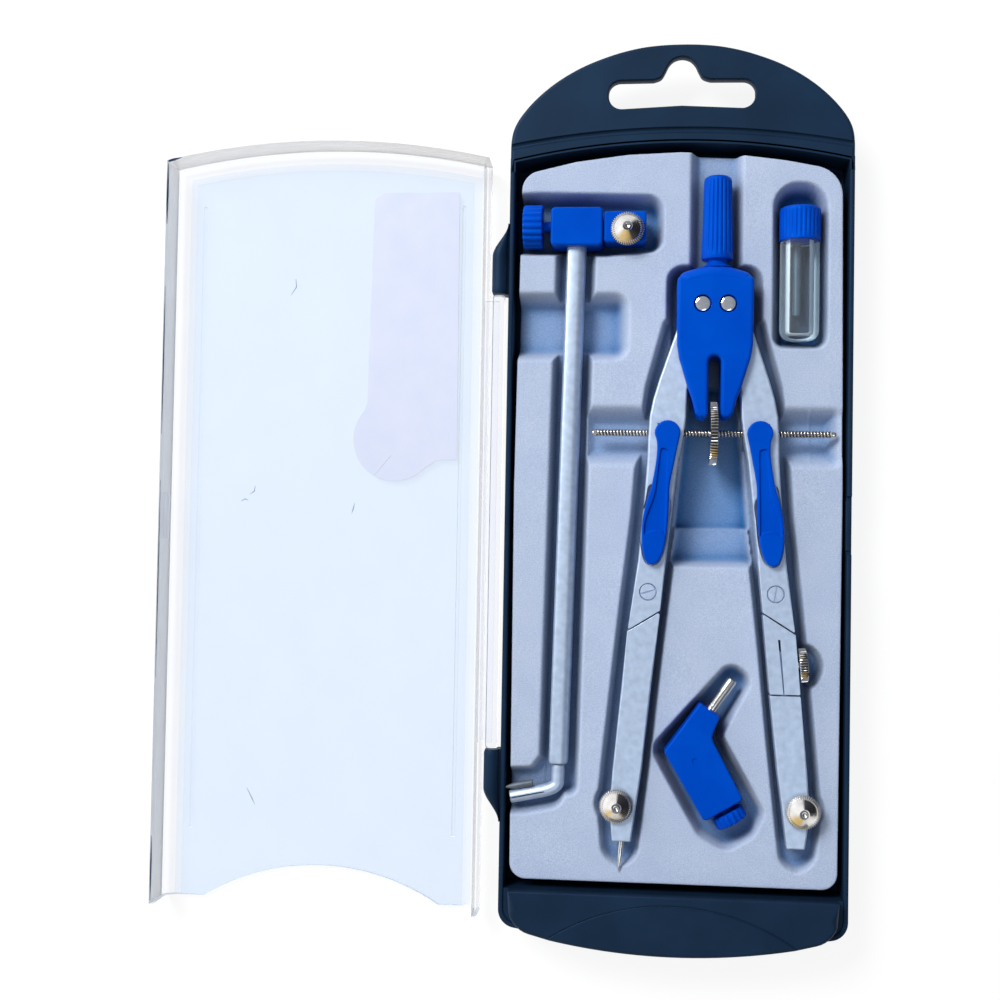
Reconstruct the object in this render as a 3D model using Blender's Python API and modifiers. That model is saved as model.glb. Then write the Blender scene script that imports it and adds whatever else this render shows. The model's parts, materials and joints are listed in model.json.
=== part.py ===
"""Drafting instrument case: a flat tray with a hang tab, a clear hinged lid, a flocked insert and four tools.

Lengths are written in millimetres and scaled to metres as meshes are made.
Case frame: x across the tray, y along it towards the hang tab, z up from the table, x = 0 on the tray's middle.
"""
import math

import bmesh
import bpy
from mathutils import Matrix, Vector

MM = 0.001

# --- driving dimensions -------------------------------------------------------------------------
CASE_SHIFT = (44.3, -8.3)      # moves the case frame so that the whole object is centred on the origin
HALF_WIDTH = 42.5               # tray, outside
WALL = 1.3                      # tray wall
FLOOR = 1.2                     # tray floor
PARTING = 12.5                  # plane between tray and lid, and the height of the hinge axis
SEAT = 0.15                     # half of the gap between the two rims
RIM = PARTING - SEAT            # top of the tray wall, and of the open lid's wall
GAP = 0.3                       # clearance between pieces that touch
TRAY_TOP_Y = 97.0               # outside of the tray's arched end wall, on the middle
TRAY_TOP_RADIUS = 187.0
DECK_TOP_Y = -89.5              # inner face of the raised deck at the tray's foot
FOOT_Y = -104.0                 # tip of the bowed foot
FOOT_RADIUS = 156.0
FOOT_CORNER = 4.5
DECK_HALF = 39.9                # the deck is narrower than the tray, so the lid's walls pass beside it
DECK_TOP = 16.0
DECK_ROUND = 3.5
TAB_TIP_Y = 120.6
TAB_RADIUS = 60.0
TAB_THICK = 3.6

HINGE_X = -44.75
LUG_RADIUS = 1.85
LUG_SPAN = ((57.7, 75.6), (-73.3, -55.5))
HINGE_BAR = (-55.1, 57.3)
PIN_RADIUS = 0.75

LID_HALF = 41.6
LID_WALL = 1.2
LID_TOP_Y = 97.1
LID_FOOT_Y = -97.0
LID_HEIGHT = 12.5
LID_ROUND = 3.2

INSERT_HALF = 40.2
INSERT_TOP = 11.8
INSERT_FOOT_Y = -87.3
INSERT_TIP_Y = 93.6
SHEET = 0.7                     # thickness of the formed insert

AXIS_X = 8.7                    # the compass lies on this line
PIVOT_Y = 54.8                  # and its two head screws on this one
MID = 12.0                      # height of the compass's middle plane
PIVOT = 3.08                    # half the distance between the head screws
LEG_HALF = 2.6                  # half the thickness of a leg
HEAD_HALF = 5.0
SPINDLE_V = -31.45              # below the head screws
KNEE = (15.45, -70.6)
CLAMP = (22.4, -122.8)
WHEEL_RADIUS = 7.8
NUT_RADIUS = 4.2
LEG_TILT = math.radians(5.3)    # lean of the lower legs

BAR_Z = 10.5
BAR_TOP = (-25.5, 74.4)
BAR_LEAN = math.radians(-1.16)
BAR_LENGTH = 133.2

TUBE_AXIS = (29.6, 9.5)         # x and z of the lead tube's axis
TUBE_FOOT_Y = 46.7
TUBE_RADIUS = 4.85

SHELLS = {}                     # collections by role


# --- scene, materials and placing ---------------------------------------------------------------
def start_scene():
    for obj in list(bpy.data.objects):
        bpy.data.objects.remove(obj)
    for role, name in (("parts", "drafting_instrument_case"), ("cutters", "cutters")):
        SHELLS[role] = bpy.data.collections.new(name)
        bpy.context.scene.collection.children.link(SHELLS[role])


def material(name, colour, roughness, metallic=0.0):
    found = bpy.data.materials.get(name)
    if found:
        return found
    made = bpy.data.materials.new(name)
    made.use_nodes = True
    shader = made.node_tree.nodes["Principled BSDF"]
    shader.inputs["Base Color"].default_value = (*colour, 1.0)
    shader.inputs["Roughness"].default_value = roughness
    shader.inputs["Metallic"].default_value = metallic
    return made


def black_plastic():
    return material("black_plastic", (0.012, 0.016, 0.024), 0.45)


def blue_plastic():
    return material("blue_plastic", (0.0, 0.075, 0.6), 0.4)


def clear_plastic():
    return material("clear_plastic", (0.86, 0.92, 0.96), 0.08)


def satin_silver():
    return material("satin_silver", (0.62, 0.68, 0.76), 0.42, 0.6)


def bright_steel():
    return material("bright_steel", (0.75, 0.75, 0.74), 0.15, 1.0)


def flock():
    return material("grey_flock", (0.5, 0.58, 0.68), 0.95)


def graphite():
    return material("graphite", (0.03, 0.03, 0.035), 0.5)


def paper():
    return material("pale_paper", (0.8, 0.82, 0.92), 0.7)


def empty(name, parent, at, turn=(0.0, 0.0, 0.0)):
    frame = bpy.data.objects.new(name, None)
    SHELLS["parts"].objects.link(frame)
    frame.empty_display_size = 5 * MM
    frame.parent = parent
    frame.location = Vector(at) * MM
    frame.rotation_euler = turn
    return frame


def put(mesh, name, parent, finish=None, at=(0, 0, 0), turn=(0.0, 0.0, 0.0)):
    """A part if it has a finish, else a cutter or guide."""
    obj = bpy.data.objects.new(name, mesh)
    SHELLS["parts" if finish else "cutters"].objects.link(obj)
    if finish:
        mesh.materials.append(finish)
    else:
        obj.hide_render = True
        obj.display_type = "WIRE"
    obj.parent = parent
    obj.location = Vector(at) * MM
    obj.rotation_euler = turn
    return obj


def facing(direction):
    """The rotation that turns local z towards a direction."""
    return Vector(direction).to_track_quat("Z", "Y").to_euler()


# --- outlines -----------------------------------------------------------------------------------
def arc(centre, radius, start, end, steps):
    """Points on an arc; angles in degrees."""
    out = []
    for k in range(steps + 1):
        a = math.radians(start + (end - start) * k / steps)
        out.append(Vector((centre[0] + radius * math.cos(a), centre[1] + radius * math.sin(a))))
    return out


def bow(half, tip, radius, steps):
    """Points of a shallow arch from x = half to x = -half, whose highest point is (0, tip)."""
    out = []
    for k in range(steps + 1):
        x = half * (1 - 2 * k / steps)
        out.append(Vector((x, tip - radius + math.sqrt(radius * radius - x * x))))
    return out


def rounded(corners, steps=3):
    """A closed outline from corners (x, y, radius), each corner turned into an arc."""
    out = []
    for i, (x, y, radius) in enumerate(corners):
        p = Vector((x, y))
        back = (Vector(corners[i - 1][:2]) - p).normalized()
        ahead = (Vector(corners[(i + 1) % len(corners)][:2]) - p).normalized()
        half = back.angle(ahead) / 2
        if radius <= 0 or half > 1.55:
            out += [p] * 1
            continue
        centre = p + (back + ahead).normalized() * radius / math.sin(half)
        first = p + back * radius / math.tan(half) - centre
        last = p + ahead * radius / math.tan(half) - centre
        sweep = math.atan2(first.x * last.y - first.y * last.x, first.dot(last))
        for k in range(steps + 1):
            out.append(centre + first @ Matrix.Rotation(-sweep * k / steps, 2))
    return out


def grown(corners, by):
    """Corners moved outward, for an outline that runs counter-clockwise."""
    out = []
    for i, (x, y, radius) in enumerate(corners):
        p = Vector((x, y))
        u = (p - Vector(corners[i - 1][:2])).normalized()
        w = (Vector(corners[(i + 1) % len(corners)][:2]) - p).normalized()
        side = Vector((u.y + w.y, -u.x - w.x)).normalized()
        reach = by / max(side.dot(Vector((u.y, -u.x))), 0.3)
        convex = u.x * w.y - u.y * w.x > 0
        new = radius + by if convex else radius - by
        out.append((*(p + side * reach), max(new, 0.15) if radius > 0 else 0.0))
    return out


def sided(points, side):
    """The outline for one side of the compass: side 1 is right, -1 is its mirror image."""
    return [Vector((side * p[0], p[1])) for p in points]


def moved(points, by):
    return [Vector((p[0] + by[0], p[1] + by[1])) for p in points]


def circle(centre, radius, steps=20):
    return arc(centre, radius, 0, 360, steps)[:-1]


# --- solids -------------------------------------------------------------------------------------
def finish_mesh(bm, name, smooth=True):
    bmesh.ops.recalc_face_normals(bm, faces=bm.faces)
    bmesh.ops.scale(bm, vec=(MM, MM, MM), verts=bm.verts)
    mesh = bpy.data.meshes.new(name)
    bm.to_mesh(mesh)
    bm.free()
    if smooth:
        mesh.shade_smooth()
        mesh.set_sharp_from_angle(angle=math.radians(35))
    return mesh


def slab(name, points, low, high, top=None):
    """A flat outline raised from low to high; top is the outline up there where it differs."""
    bm = bmesh.new()
    ring = [bm.verts.new((p[0], p[1], low)) for p in points]
    raised = bmesh.ops.extrude_face_region(bm, geom=[bm.faces.new(ring)])["geom"]
    lifted = [v for v in raised if isinstance(v, bmesh.types.BMVert)]
    for v in lifted:
        v.co.z = high
    if top:
        for v in lifted:
            k = min(range(len(points)), key=lambda i, v=v: (v.co.xy - Vector(points[i][:2])).length)
            v.index = k
        for v in lifted:
            v.co.xy = top[v.index]
    return finish_mesh(bm, name)


def block(name, low, high):
    bm = bmesh.new()
    size = [h - g for g, h in zip(low, high)]
    middle = [(g + h) / 2 for g, h in zip(low, high)]
    bmesh.ops.create_cube(bm, size=1, matrix=Matrix.Translation(middle) @ Matrix.Diagonal((*size, 1)))
    return finish_mesh(bm, name, smooth=False)


def rod(name, radius, low, high, segments=16, tip=None):
    """A cylinder along z, or a cone where tip, its upper radius, is given."""
    bm = bmesh.new()
    bmesh.ops.create_cone(
        bm, cap_ends=True, segments=segments, radius1=radius, radius2=radius if tip is None else tip,
        depth=high - low, matrix=Matrix.Translation((0, 0, (low + high) / 2)))
    return finish_mesh(bm, name)


def fluted(name, stations, ribs, depth):
    """A ribbed grip along z: stations (radius, z), upwards, with ribs cut to a depth."""
    bm = bmesh.new()
    rings = []
    for radius, z in stations:
        ring = []
        for k in range(ribs * 2):
            r = radius - (depth if k % 2 else 0)
            a = math.pi * k / ribs
            ring.append(bm.verts.new((r * math.cos(a), r * math.sin(a), z)))
        rings.append(ring)
    for lower, upper in zip(rings, rings[1:]):
        for k in range(len(lower)):
            j = (k + 1) % len(lower)
            bm.faces.new((lower[k], lower[j], upper[j], upper[k]))
    bm.faces.new(rings[0][::-1])
    bm.faces.new(rings[-1])
    return finish_mesh(bm, name)


def turned(name, profile, parent, finish, at, direction, steps=20):
    """A profile of (radius, height), from the top down its outer side, spun about z."""
    bm = bmesh.new()
    line = [bm.verts.new((r, 0, z)) for r, z in profile]
    for a, b in zip(line, line[1:]):
        bm.edges.new((a, b))
    bmesh.ops.scale(bm, vec=(MM, MM, MM), verts=bm.verts)
    mesh = bpy.data.meshes.new(name)
    bm.to_mesh(mesh)
    bm.free()
    obj = put(mesh, name, parent, finish, at, facing(direction))
    spin = obj.modifiers.new("turn", "SCREW")
    spin.steps = steps
    spin.render_steps = steps
    spin.use_merge_vertices = True
    spin.merge_threshold = 0.00001
    return obj


def tube_along(name, points, radius, parent, finish, resolution=2):
    """A round bar along a path of points."""
    curve = bpy.data.curves.new(name, "CURVE")
    curve.dimensions = "3D"
    curve.bevel_depth = radius * MM
    curve.bevel_resolution = resolution
    curve.use_fill_caps = True
    path = curve.splines.new("POLY")
    path.points.add(len(points) - 1)
    for p, at in zip(path.points, points):
        p.co = (*(Vector(at) * MM), 1)
    drawn = bpy.data.objects.new(f"{name}_curve", curve)
    SHELLS["cutters"].objects.link(drawn)
    shape = bpy.data.meshes.new_from_object(drawn.evaluated_get(bpy.context.evaluated_depsgraph_get()))
    bpy.data.objects.remove(drawn)
    bm = bmesh.new()
    bm.from_mesh(shape)
    bmesh.ops.remove_doubles(bm, verts=bm.verts, dist=0.000001)
    bmesh.ops.recalc_face_normals(bm, faces=bm.faces)
    bm.to_mesh(shape)
    bm.free()
    shape.shade_smooth()
    return put(shape, name, parent, finish)


def change(obj, operation, *others):
    for other in others:
        step = obj.modifiers.new(other.name, "BOOLEAN")
        step.operation = operation
        step.solver = "EXACT"
        step.object = other


def cut(obj, *others):
    change(obj, "DIFFERENCE", *others)


def add(obj, *others):
    change(obj, "UNION", *others)


def soften(obj, width, segments=1, angle=40):
    bevel = obj.modifiers.new("soft_edges", "BEVEL")
    bevel.width = width * MM
    bevel.segments = segments
    bevel.limit_method = "ANGLE"
    bevel.angle_limit = math.radians(angle)
    bevel.use_clamp_overlap = True


# --- tray ---------------------------------------------------------------------------------------
def tray_outline(inset, foot_steps=14):
    """The tray seen from above, without its tab: bowed foot, straight sides, arched end."""
    half = HALF_WIDTH - inset
    tip = TRAY_TOP_Y - inset
    foot = FOOT_Y + inset
    corner = FOOT_CORNER - inset / 2
    edge = foot + FOOT_RADIUS - math.sqrt(FOOT_RADIUS ** 2 - (half - corner) ** 2)
    points = bow(half, tip, TRAY_TOP_RADIUS, 12)
    points += arc((-half + corner, edge + corner), corner, 180, 264, 5)
    bowed = bow(half - corner - 0.5, -foot, FOOT_RADIUS, foot_steps)
    points += [Vector((-p.x, -p.y)) for p in bowed]
    points += arc((half - corner, edge + corner), corner, 276, 360, 5)
    return points


def cavity_corners():
    """The tray's inside: straight at the deck, arched at the other end."""
    half = HALF_WIDTH - WALL
    return ([Vector((p.x, p.y)) for p in bow(half, TRAY_TOP_Y - WALL, TRAY_TOP_RADIUS, 12)]
            + [Vector((-half, DECK_TOP_Y)), Vector((half, DECK_TOP_Y))])


def tab_outline():
    """The hang tab: a wide arch with tighter shoulders that run into the tray's sides."""
    arch = [(p.x, p.y, 0) for p in bow(25.0, TAB_TIP_Y, TAB_RADIUS, 12)]
    return rounded([(HALF_WIDTH, 88, 0), (HALF_WIDTH, 100.9, 12), (30.6, 112.5, 10)] + arch
                   + [(-30.6, 112.5, 10), (-HALF_WIDTH, 100.9, 12), (-HALF_WIDTH, 88, 0)], 6)


def hang_hole():
    """A long slot with a rounded hump, for a shop's hook."""
    return rounded([
        (18.1, 105.1, 3.0), (18.1, 111.8, 3.0), (6.4, 111.9, 2.0), (3.6, 117.5, 3.4),
        (-3.6, 117.5, 3.4), (-6.4, 111.9, 2.0), (-18.1, 111.8, 3.0), (-18.1, 105.1, 3.0),
        (0, 105.8, 0)], 4)


def hinge_lug(name, low, high, wing_up, parent):
    """A boss outside the tray wall that carries one end of the lid's pin; its wing fairs it into the wall."""
    edge = HINGE_X - LUG_RADIUS - 0.1
    wall = -HALF_WIDTH + 0.6
    straight = 7.6
    if wing_up:
        points = [(wall, low), (wall, high), (-HALF_WIDTH - 0.1, high), (-44.2, high - 2.6),
                  (-45.6, high - 5.0), (edge, high - straight), (edge, low)]
    else:
        points = [(wall, high), (edge, high), (edge, low + straight), (-45.6, low + 5.0),
                  (-44.2, low + 2.6), (-HALF_WIDTH - 0.1, low), (wall, low)]
    boss = put(slab(name, [Vector(p) for p in points], PARTING - 6, PARTING + 6), name, parent)
    roll = [Vector((wall - 1, RIM - 5.4)), Vector((wall + 1, RIM - 5.4)), Vector((wall + 1, RIM - 0.35)),
            Vector((wall - 1, RIM - 0.35))]
    roll += arc((HINGE_X, PARTING), LUG_RADIUS, -5, 180, 9) + [Vector((HINGE_X - LUG_RADIUS, PARTING - 2.4))]
    change(boss, "INTERSECT", along_y(f"{name}_roll", roll, low - 3, high + 3, parent))
    return boss


def deck_profile():
    """The raised deck seen along y: upright sides and round shoulders."""
    low = RIM - 3.0
    return ([Vector((DECK_HALF, low))]
            + arc((DECK_HALF - DECK_ROUND, DECK_TOP - DECK_ROUND), DECK_ROUND, 0, 90, 6)
            + arc((-DECK_HALF + DECK_ROUND, DECK_TOP - DECK_ROUND), DECK_ROUND, 90, 180, 6)
            + [Vector((-DECK_HALF, low))])


def base_shell(case):
    outline = tray_outline(0)
    tray = put(slab("base_shell", outline, 0, RIM), "base_shell", case, black_plastic())
    soften(tray, 0.9, 2, 60)
    tab = put(slab("tab_plate", tab_outline(), RIM - TAB_THICK, RIM), "tab_plate", case)
    soften(tab, 0.5, 1, 60)
    deck = put(slab("deck_bar", deck_profile(), 0, 40), "deck_bar", case,
               at=(0, DECK_TOP_Y, 0), turn=(math.pi / 2, 0, 0))
    foot = put(slab("deck_foot", tray_outline(0.25), RIM - 3.5, DECK_TOP + 5), "deck_foot", case)
    change(deck, "INTERSECT", foot)
    valley = put(slab("valley", moved(bow(HALF_WIDTH + 1, TRAY_TOP_Y + 3.0, 237, 14), (0, 0))
                      + moved(bow(HALF_WIDTH + 1, TRAY_TOP_Y + 0.05, TRAY_TOP_RADIUS, 14), (0, 0))[::-1],
                      RIM - 1.5, RIM + 2), "valley", case)
    hole = put(slab("hang_hole", hang_hole(), 0, 15), "hang_hole", case)
    cavity = put(slab("cavity", cavity_corners(), FLOOR, 15), "cavity", case)
    lugs = [hinge_lug("lug_top", *LUG_SPAN[0], True, case), hinge_lug("lug_foot", *LUG_SPAN[1], False, case)]
    pins = put(rod("pin_bore", PIN_RADIUS + GAP, LUG_SPAN[1][1] - 4.5, LUG_SPAN[0][0] + 4.5, 12), "pin_bore",
               case, at=(HINGE_X, 0, PARTING), turn=(-math.pi / 2, 0, 0))
    catch = put(block("catch", (41.0, -5.0, 4.0), (42.0, 7.4, RIM - 1.0)), "catch", case)
    notch = put(block("catch_notch", (38, -6.0, RIM - 1.0), (45, 8.4, RIM + 1)), "catch_notch", case)
    add(tray, tab, deck)
    cut(tray, valley, cavity, hole)
    add(tray, *lugs, catch)
    cut(tray, pins, notch)
    engrave = put(slab("deck_arch", [Vector((p.x, p.y)) for p in bow(30.5, -91.6, 52, 16)]
                       + [Vector((p.x, p.y)) for p in bow(30.5, -92.0, 52, 16)][::-1],
                       DECK_TOP - 0.35, DECK_TOP + 1), "deck_arch", case)
    cut(tray, engrave)
    return tray


# --- lid ----------------------------------------------------------------------------------------
def lid_top_edge(half, tip, steps=14):
    return bow(half, tip, TRAY_TOP_RADIUS, steps)


def lid_profile(half, height, radius, low=PARTING + SEAT):
    """The lid seen along y, closed: its walls reach down to the parting plane."""
    high = PARTING + height
    return ([Vector((half, low))]
            + arc((half - radius, high - radius), radius, 0, 90, 5)
            + arc((-half + radius, high - radius), radius, 90, 180, 5)
            + [Vector((-half, low))])


def along_y(name, profile, low, high, parent, finish=None):
    """A profile in x and z carried from y = low to y = high."""
    return put(slab(name, profile, 0, high - low), name, parent, finish, (0, high, 0), (math.pi / 2, 0, 0))


def lid_plan(half, tip, foot):
    return [Vector((p.x, p.y)) for p in lid_top_edge(half, tip)] + [Vector((-half, foot)), Vector((half, foot))]


def lid(hinge):
    """Modelled closed, in the case frame; the hinge's empty turns it open."""
    home = empty("lid_frame", hinge, (-HINGE_X, 0, -PARTING))
    shell = along_y("lid", lid_profile(LID_HALF, LID_HEIGHT, LID_ROUND), LID_FOOT_Y, LID_TOP_Y + 2, home,
                    clear_plastic())
    plan = put(slab("lid_plan", lid_plan(LID_HALF + 0.01, LID_TOP_Y, LID_FOOT_Y - 3), 5, 25), "lid_plan", home)
    change(shell, "INTERSECT", plan)
    inside = lid_profile(LID_HALF - LID_WALL, LID_HEIGHT - LID_WALL, LID_ROUND - LID_WALL, PARTING - 2)
    inner = along_y("lid_inside", inside, LID_FOOT_Y - 5, LID_TOP_Y + 5, home)
    inner_plan = put(slab("lid_inside_plan", lid_plan(LID_HALF, LID_TOP_Y - LID_WALL, LID_FOOT_Y - 4), 5, 25),
                     "lid_inside_plan", home)
    change(inner, "INTERSECT", inner_plan)
    arch = put(slab("lid_arch", [Vector((31.4, -110)), Vector((31.4, -97.6))]
                    + [Vector((p.x, p.y)) for p in bow(31.4, -88.2, 57.5, 14)][1:-1]
                    + [Vector((-31.4, -97.6)), Vector((-31.4, -110))], 12, 25), "lid_arch", home)
    cut(shell, inner, arch)
    ribs = []
    for side in (-1, 1):
        ribs.append(put(block(f"lid_rib_{side}", (side * 34.3 - 0.4, -79.5, 22.3), (side * 34.3 + 0.4, 82.5, 24.2)),
                        f"lid_rib_{side}", home))
    bar_low, bar_high = HINGE_BAR
    bar = put(rod("hinge_bar", 1.55, bar_low, bar_high, 16), "hinge_bar", home, at=(HINGE_X, 0, PARTING),
              turn=(-math.pi / 2, 0, 0))
    web = put(block("hinge_web", (HINGE_X, bar_low + 1.2, PARTING + 0.45),
                    (-LID_HALF + 0.5, bar_high - 1.2, PARTING + 1.5)), "hinge_web", home)
    pin = put(rod("hinge_pin", PIN_RADIUS, bar_low - 3.6, bar_high + 3.6, 12), "hinge_pin", home,
              at=(HINGE_X, 0, PARTING), turn=(-math.pi / 2, 0, 0))
    tongue = put(block("latch_tongue", (LID_HALF - 2.0, -4.6, PARTING + SEAT + 0.3),
                       (LID_HALF - 0.6, 7.0, PARTING + 3.2)), "latch_tongue", home)
    add(shell, *ribs, web, bar, pin, tongue)
    label(home)


def label(home):
    """A thin leaflet inside the lid: a strip that ends in a disc."""
    top = PARTING + LID_HEIGHT - LID_WALL - GAP
    strip = [Vector((-10.0, 86.2)), Vector((-33.1, 86.2)), Vector((-33.5, 16.8)), Vector((-28.2, 16.8))]
    outline = strip + [Vector((-27.0, 15.6))] + arc((-17.4, 21.6), 10.4, 218, 385, 14) + [Vector((-9.4, 60.0))]
    put(slab("lid_leaflet", outline, top - 0.3, top), "lid_leaflet", home, paper())


# --- insert -------------------------------------------------------------------------------------
def insert_corners():
    """The insert's plan: rounded corners and an arched end that follows the tray's."""
    half = INSERT_HALF
    return [(half - 0.3, INSERT_FOOT_Y, 4.0), (half + 0.1, 0, 0), (half - 0.9, 88.3, 4.2), (26, 91.4, 0),
            (13, 93.1, 0), (0, INSERT_TIP_Y, 0), (-13, 93.1, 0), (-26, 91.4, 0), (-half + 0.9, 88.3, 4.2),
            (-half - 0.1, 0, 0), (-half + 0.3, INSERT_FOOT_Y, 4.0)]


def beyond(side):
    """An x past the insert's edge, for pockets that run out through it."""
    return side * (INSERT_HALF + 4)


def leg_pocket_corners(side):
    """Wider than the leg, outside more than inside; side 1 is right."""
    outer = [(11.8, -3.0, 2.0), (16.1, -20.0, 6.0), (18.2, -36.0, 6.0), (19.4, -52.0, 0), (22.0, -74.0, 0),
             (24.2, -96.0, 0), (26.1, -116.0, 0), (26.6, -123.0, 3.0), (25.6, -139.0, 4.0)]
    inner = [(17.4, -139.0, 4.0), (14.4, -106.0, 0), (12.4, -84.0, 0), (9.6, -60.0, 0), (4.0, -24.0, 3.0),
             (2.0, -3.0, 0)]
    points = [(AXIS_X + side * u, PIVOT_Y + v, r) for u, v, r in outer + inner]
    return points[::-1] if side > 0 else points


def round_corners(x, y, r):
    """A square whose corners are so round that it is a circle."""
    return [(x + r, y - r, r * 0.98), (x + r, y + r, r * 0.98), (x - r, y + r, r * 0.98), (x - r, y - r, r * 0.98)]


def box_corners(x0, y0, x1, y1, r):
    return [(x1, y0, r), (x1, y1, r), (x0, y1, r), (x0, y0, r)]


def pockets():
    """Name, corners at the plateau, floor height and draft (sideways per unit of depth)."""
    out = [
        ("head", box_corners(AXIS_X - 11.4, 24, AXIS_X + 11.4, 66.4, 2.6), 6.4, 0.1),
        ("handle", box_corners(AXIS_X - 5.4, 62, AXIS_X + 5.4, 99, 1.5), 8.4, 0.15),
        ("spindle", box_corners(-24.4, 16.4, 39.7, 30.4, 2.0), 7.0, 0.9),
        ("between", [(AXIS_X + 9.6, -0.4, 1.0), (AXIS_X + 6.2, 36, 0), (AXIS_X - 6.2, 36, 0),
                     (AXIS_X - 9.6, -0.4, 1.0)], 3.0, 0.06),
        ("step", [(AXIS_X + 10.6, -9.0, 1.0), (AXIS_X + 8.8, 4, 0), (AXIS_X - 8.8, 4, 0),
                  (AXIS_X - 10.6, -9.0, 1.0)], 5.0, 0.35),
        ("bar_head", [(-4.7, 69.4, 2.0), (-4.7, 81.6, 2.5), (-34, 82.6, 0), (beyond(-1), 82.0, 0),
                      (beyond(-1), 68.5, 0), (-32, 68.5, 0), (-18, 68.2, 0)], 4.7, 0.12),
        ("bar", [(-23.9, -66, 2.0), (-21.3, 70, 0), (-30.0, 70, 0), (-32.4, -66, 0)], 7.6, 0.1),
        ("bar_foot", [(-24.6, -62.5, 3.0), (-24.2, -58, 0), (-32.4, -57.8, 1.0), (-34.6, -61.4, 1.5),
                      (beyond(-1), -62.4, 0), (beyond(-1), -70.9, 0), (-36, -70.2, 0), (-28.6, -68.6, 3.0)],
         7.8, 0.12),
        ("finger", box_corners(beyond(-1), 42.4, -13.3, 57.3, 2.5), 5.5, 0.35),
        ("tube", [(35.4, 45.7, 1.6), (35.4, 85.6, 5.4), (23.9, 85.6, 5.4), (23.9, 45.7, 1.6)], 4.0, 0.08),
        ("adapter", [(19.4, -74.4, 3.0), (21.6, -69.2, 2.5), (11.6, -50.4, 2.0), (18.6, -36.6, 2.6),
                     (13.4, -33.0, 2.6), (-5.0, -54.2, 2.5), (6.6, -74.6, 3.0), (13.2, -78.3, 3.0)], 6.1, 0.12),
        ("side_screw", round_corners(AXIS_X + 21.6, PIVOT_Y - 88.2, 5.3), 7.1, 0.08),
        ("left_nut", round_corners(AXIS_X - 22.5, PIVOT_Y - 122.8, 5.0), 7.45, 0.08),
        ("right_nut", round_corners(AXIS_X + 22.5, PIVOT_Y - 122.8, 5.0), 7.45, 0.08),
        ("left_leg", leg_pocket_corners(-1), 7.6, 0.05),
        ("right_leg", leg_pocket_corners(1), 7.65, 0.05),
    ]
    return out


def formed(name, corners, floor, draft, ceiling, grow, case):
    """One pocket's solid: its walls lean outward from the floor to the plateau and on to the ceiling."""
    low = rounded(grown(corners, grow - draft * (INSERT_TOP - floor)))
    high = rounded(grown(corners, grow + draft * (ceiling - INSERT_TOP)))
    return put(slab(name, low, floor, ceiling, high), name, case)


def flocked_insert(case):
    corners = insert_corners()
    skirt = 0.5
    foot = FLOOR + GAP
    insert = put(slab("flocked_insert", rounded(grown(corners, skirt)), foot, INSERT_TOP, rounded(corners)),
                 "flocked_insert", case, flock())
    bound = put(slab("insert_bound", rounded(grown(corners, skirt)), foot, INSERT_TOP, rounded(corners)),
                "insert_bound", case)
    under = put(slab("insert_under", rounded(grown(corners, skirt - SHEET)), foot - 1, INSERT_TOP - SHEET,
                     rounded(grown(corners, -SHEET))), "insert_under", case)
    cut(insert, under)
    for name, shape, floor, draft in pockets():
        cup = formed(f"cup_{name}", shape, floor - SHEET, draft, INSERT_TOP - 0.3, SHEET, case)
        change(cup, "INTERSECT", bound)
        add(insert, cup)
    for name, shape, floor, draft in pockets():
        cut(insert, formed(f"pocket_{name}", shape, floor, draft, INSERT_TOP + 1, 0, case))
    return insert


# --- compass ------------------------------------------------------------------------------------
def geared_end(phase, steps=10):
    """Coarse teeth round a leg's pivot, so that the two legs open together."""
    points = []
    for k in range(steps):
        middle = phase + 360 * k / steps
        for offset, radius in ((-9.5, 2.35), (-5, 3.3), (5, 3.3), (9.5, 2.35)):
            a = math.radians(middle + offset)
            points.append(Vector((radius * math.cos(a), radius * math.sin(a))))
    return points


UPPER_LEG = [(7.1, 0.2), (9.7, -7.5), (13.4, -18.5), (14.8, -23.4), (15.6, -27.5), (15.9, -33.0), (16.0, -38.1),
             (16.6, -47.8), (17.9, -62.8), (20.2, -80.0), (12.3, -75.0), (10.9, -60.8), (9.5, -47.8),
             (8.4, -38.1), (7.4, -32.8), (6.7, -27.8), (6.5, -21.0), (4.2, -11.0), (2.4, -1.6)]
LEVER = [(14.3, -32.0), (13.7, -34.4), (13.9, -38.5), (14.9, -44.5), (16.1, -48.5), (17.0, -53.0), (17.2, -57.5),
         (16.8, -61.0), (16.0, -63.2), (14.8, -63.9), (13.2, -63.3), (12.1, -61.2), (11.3, -57.9), (10.8, -53.0),
         (10.6, -48.0), (10.5, -44.5), (9.8, -40.5), (8.8, -35.4), (8.1, -32.0)]
LEVER_HEAD = (11.2, -31.7)
LEVER_PIN = (12.75, -44.0)


def leg_line(v):
    """The lower legs' outer and inner edge at a distance below the head screws."""
    outer = 20.35 + (-80.4 - v) * 0.0885
    inner = 12.55 + (-75.3 - v) * 0.0985
    return outer, inner


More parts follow.
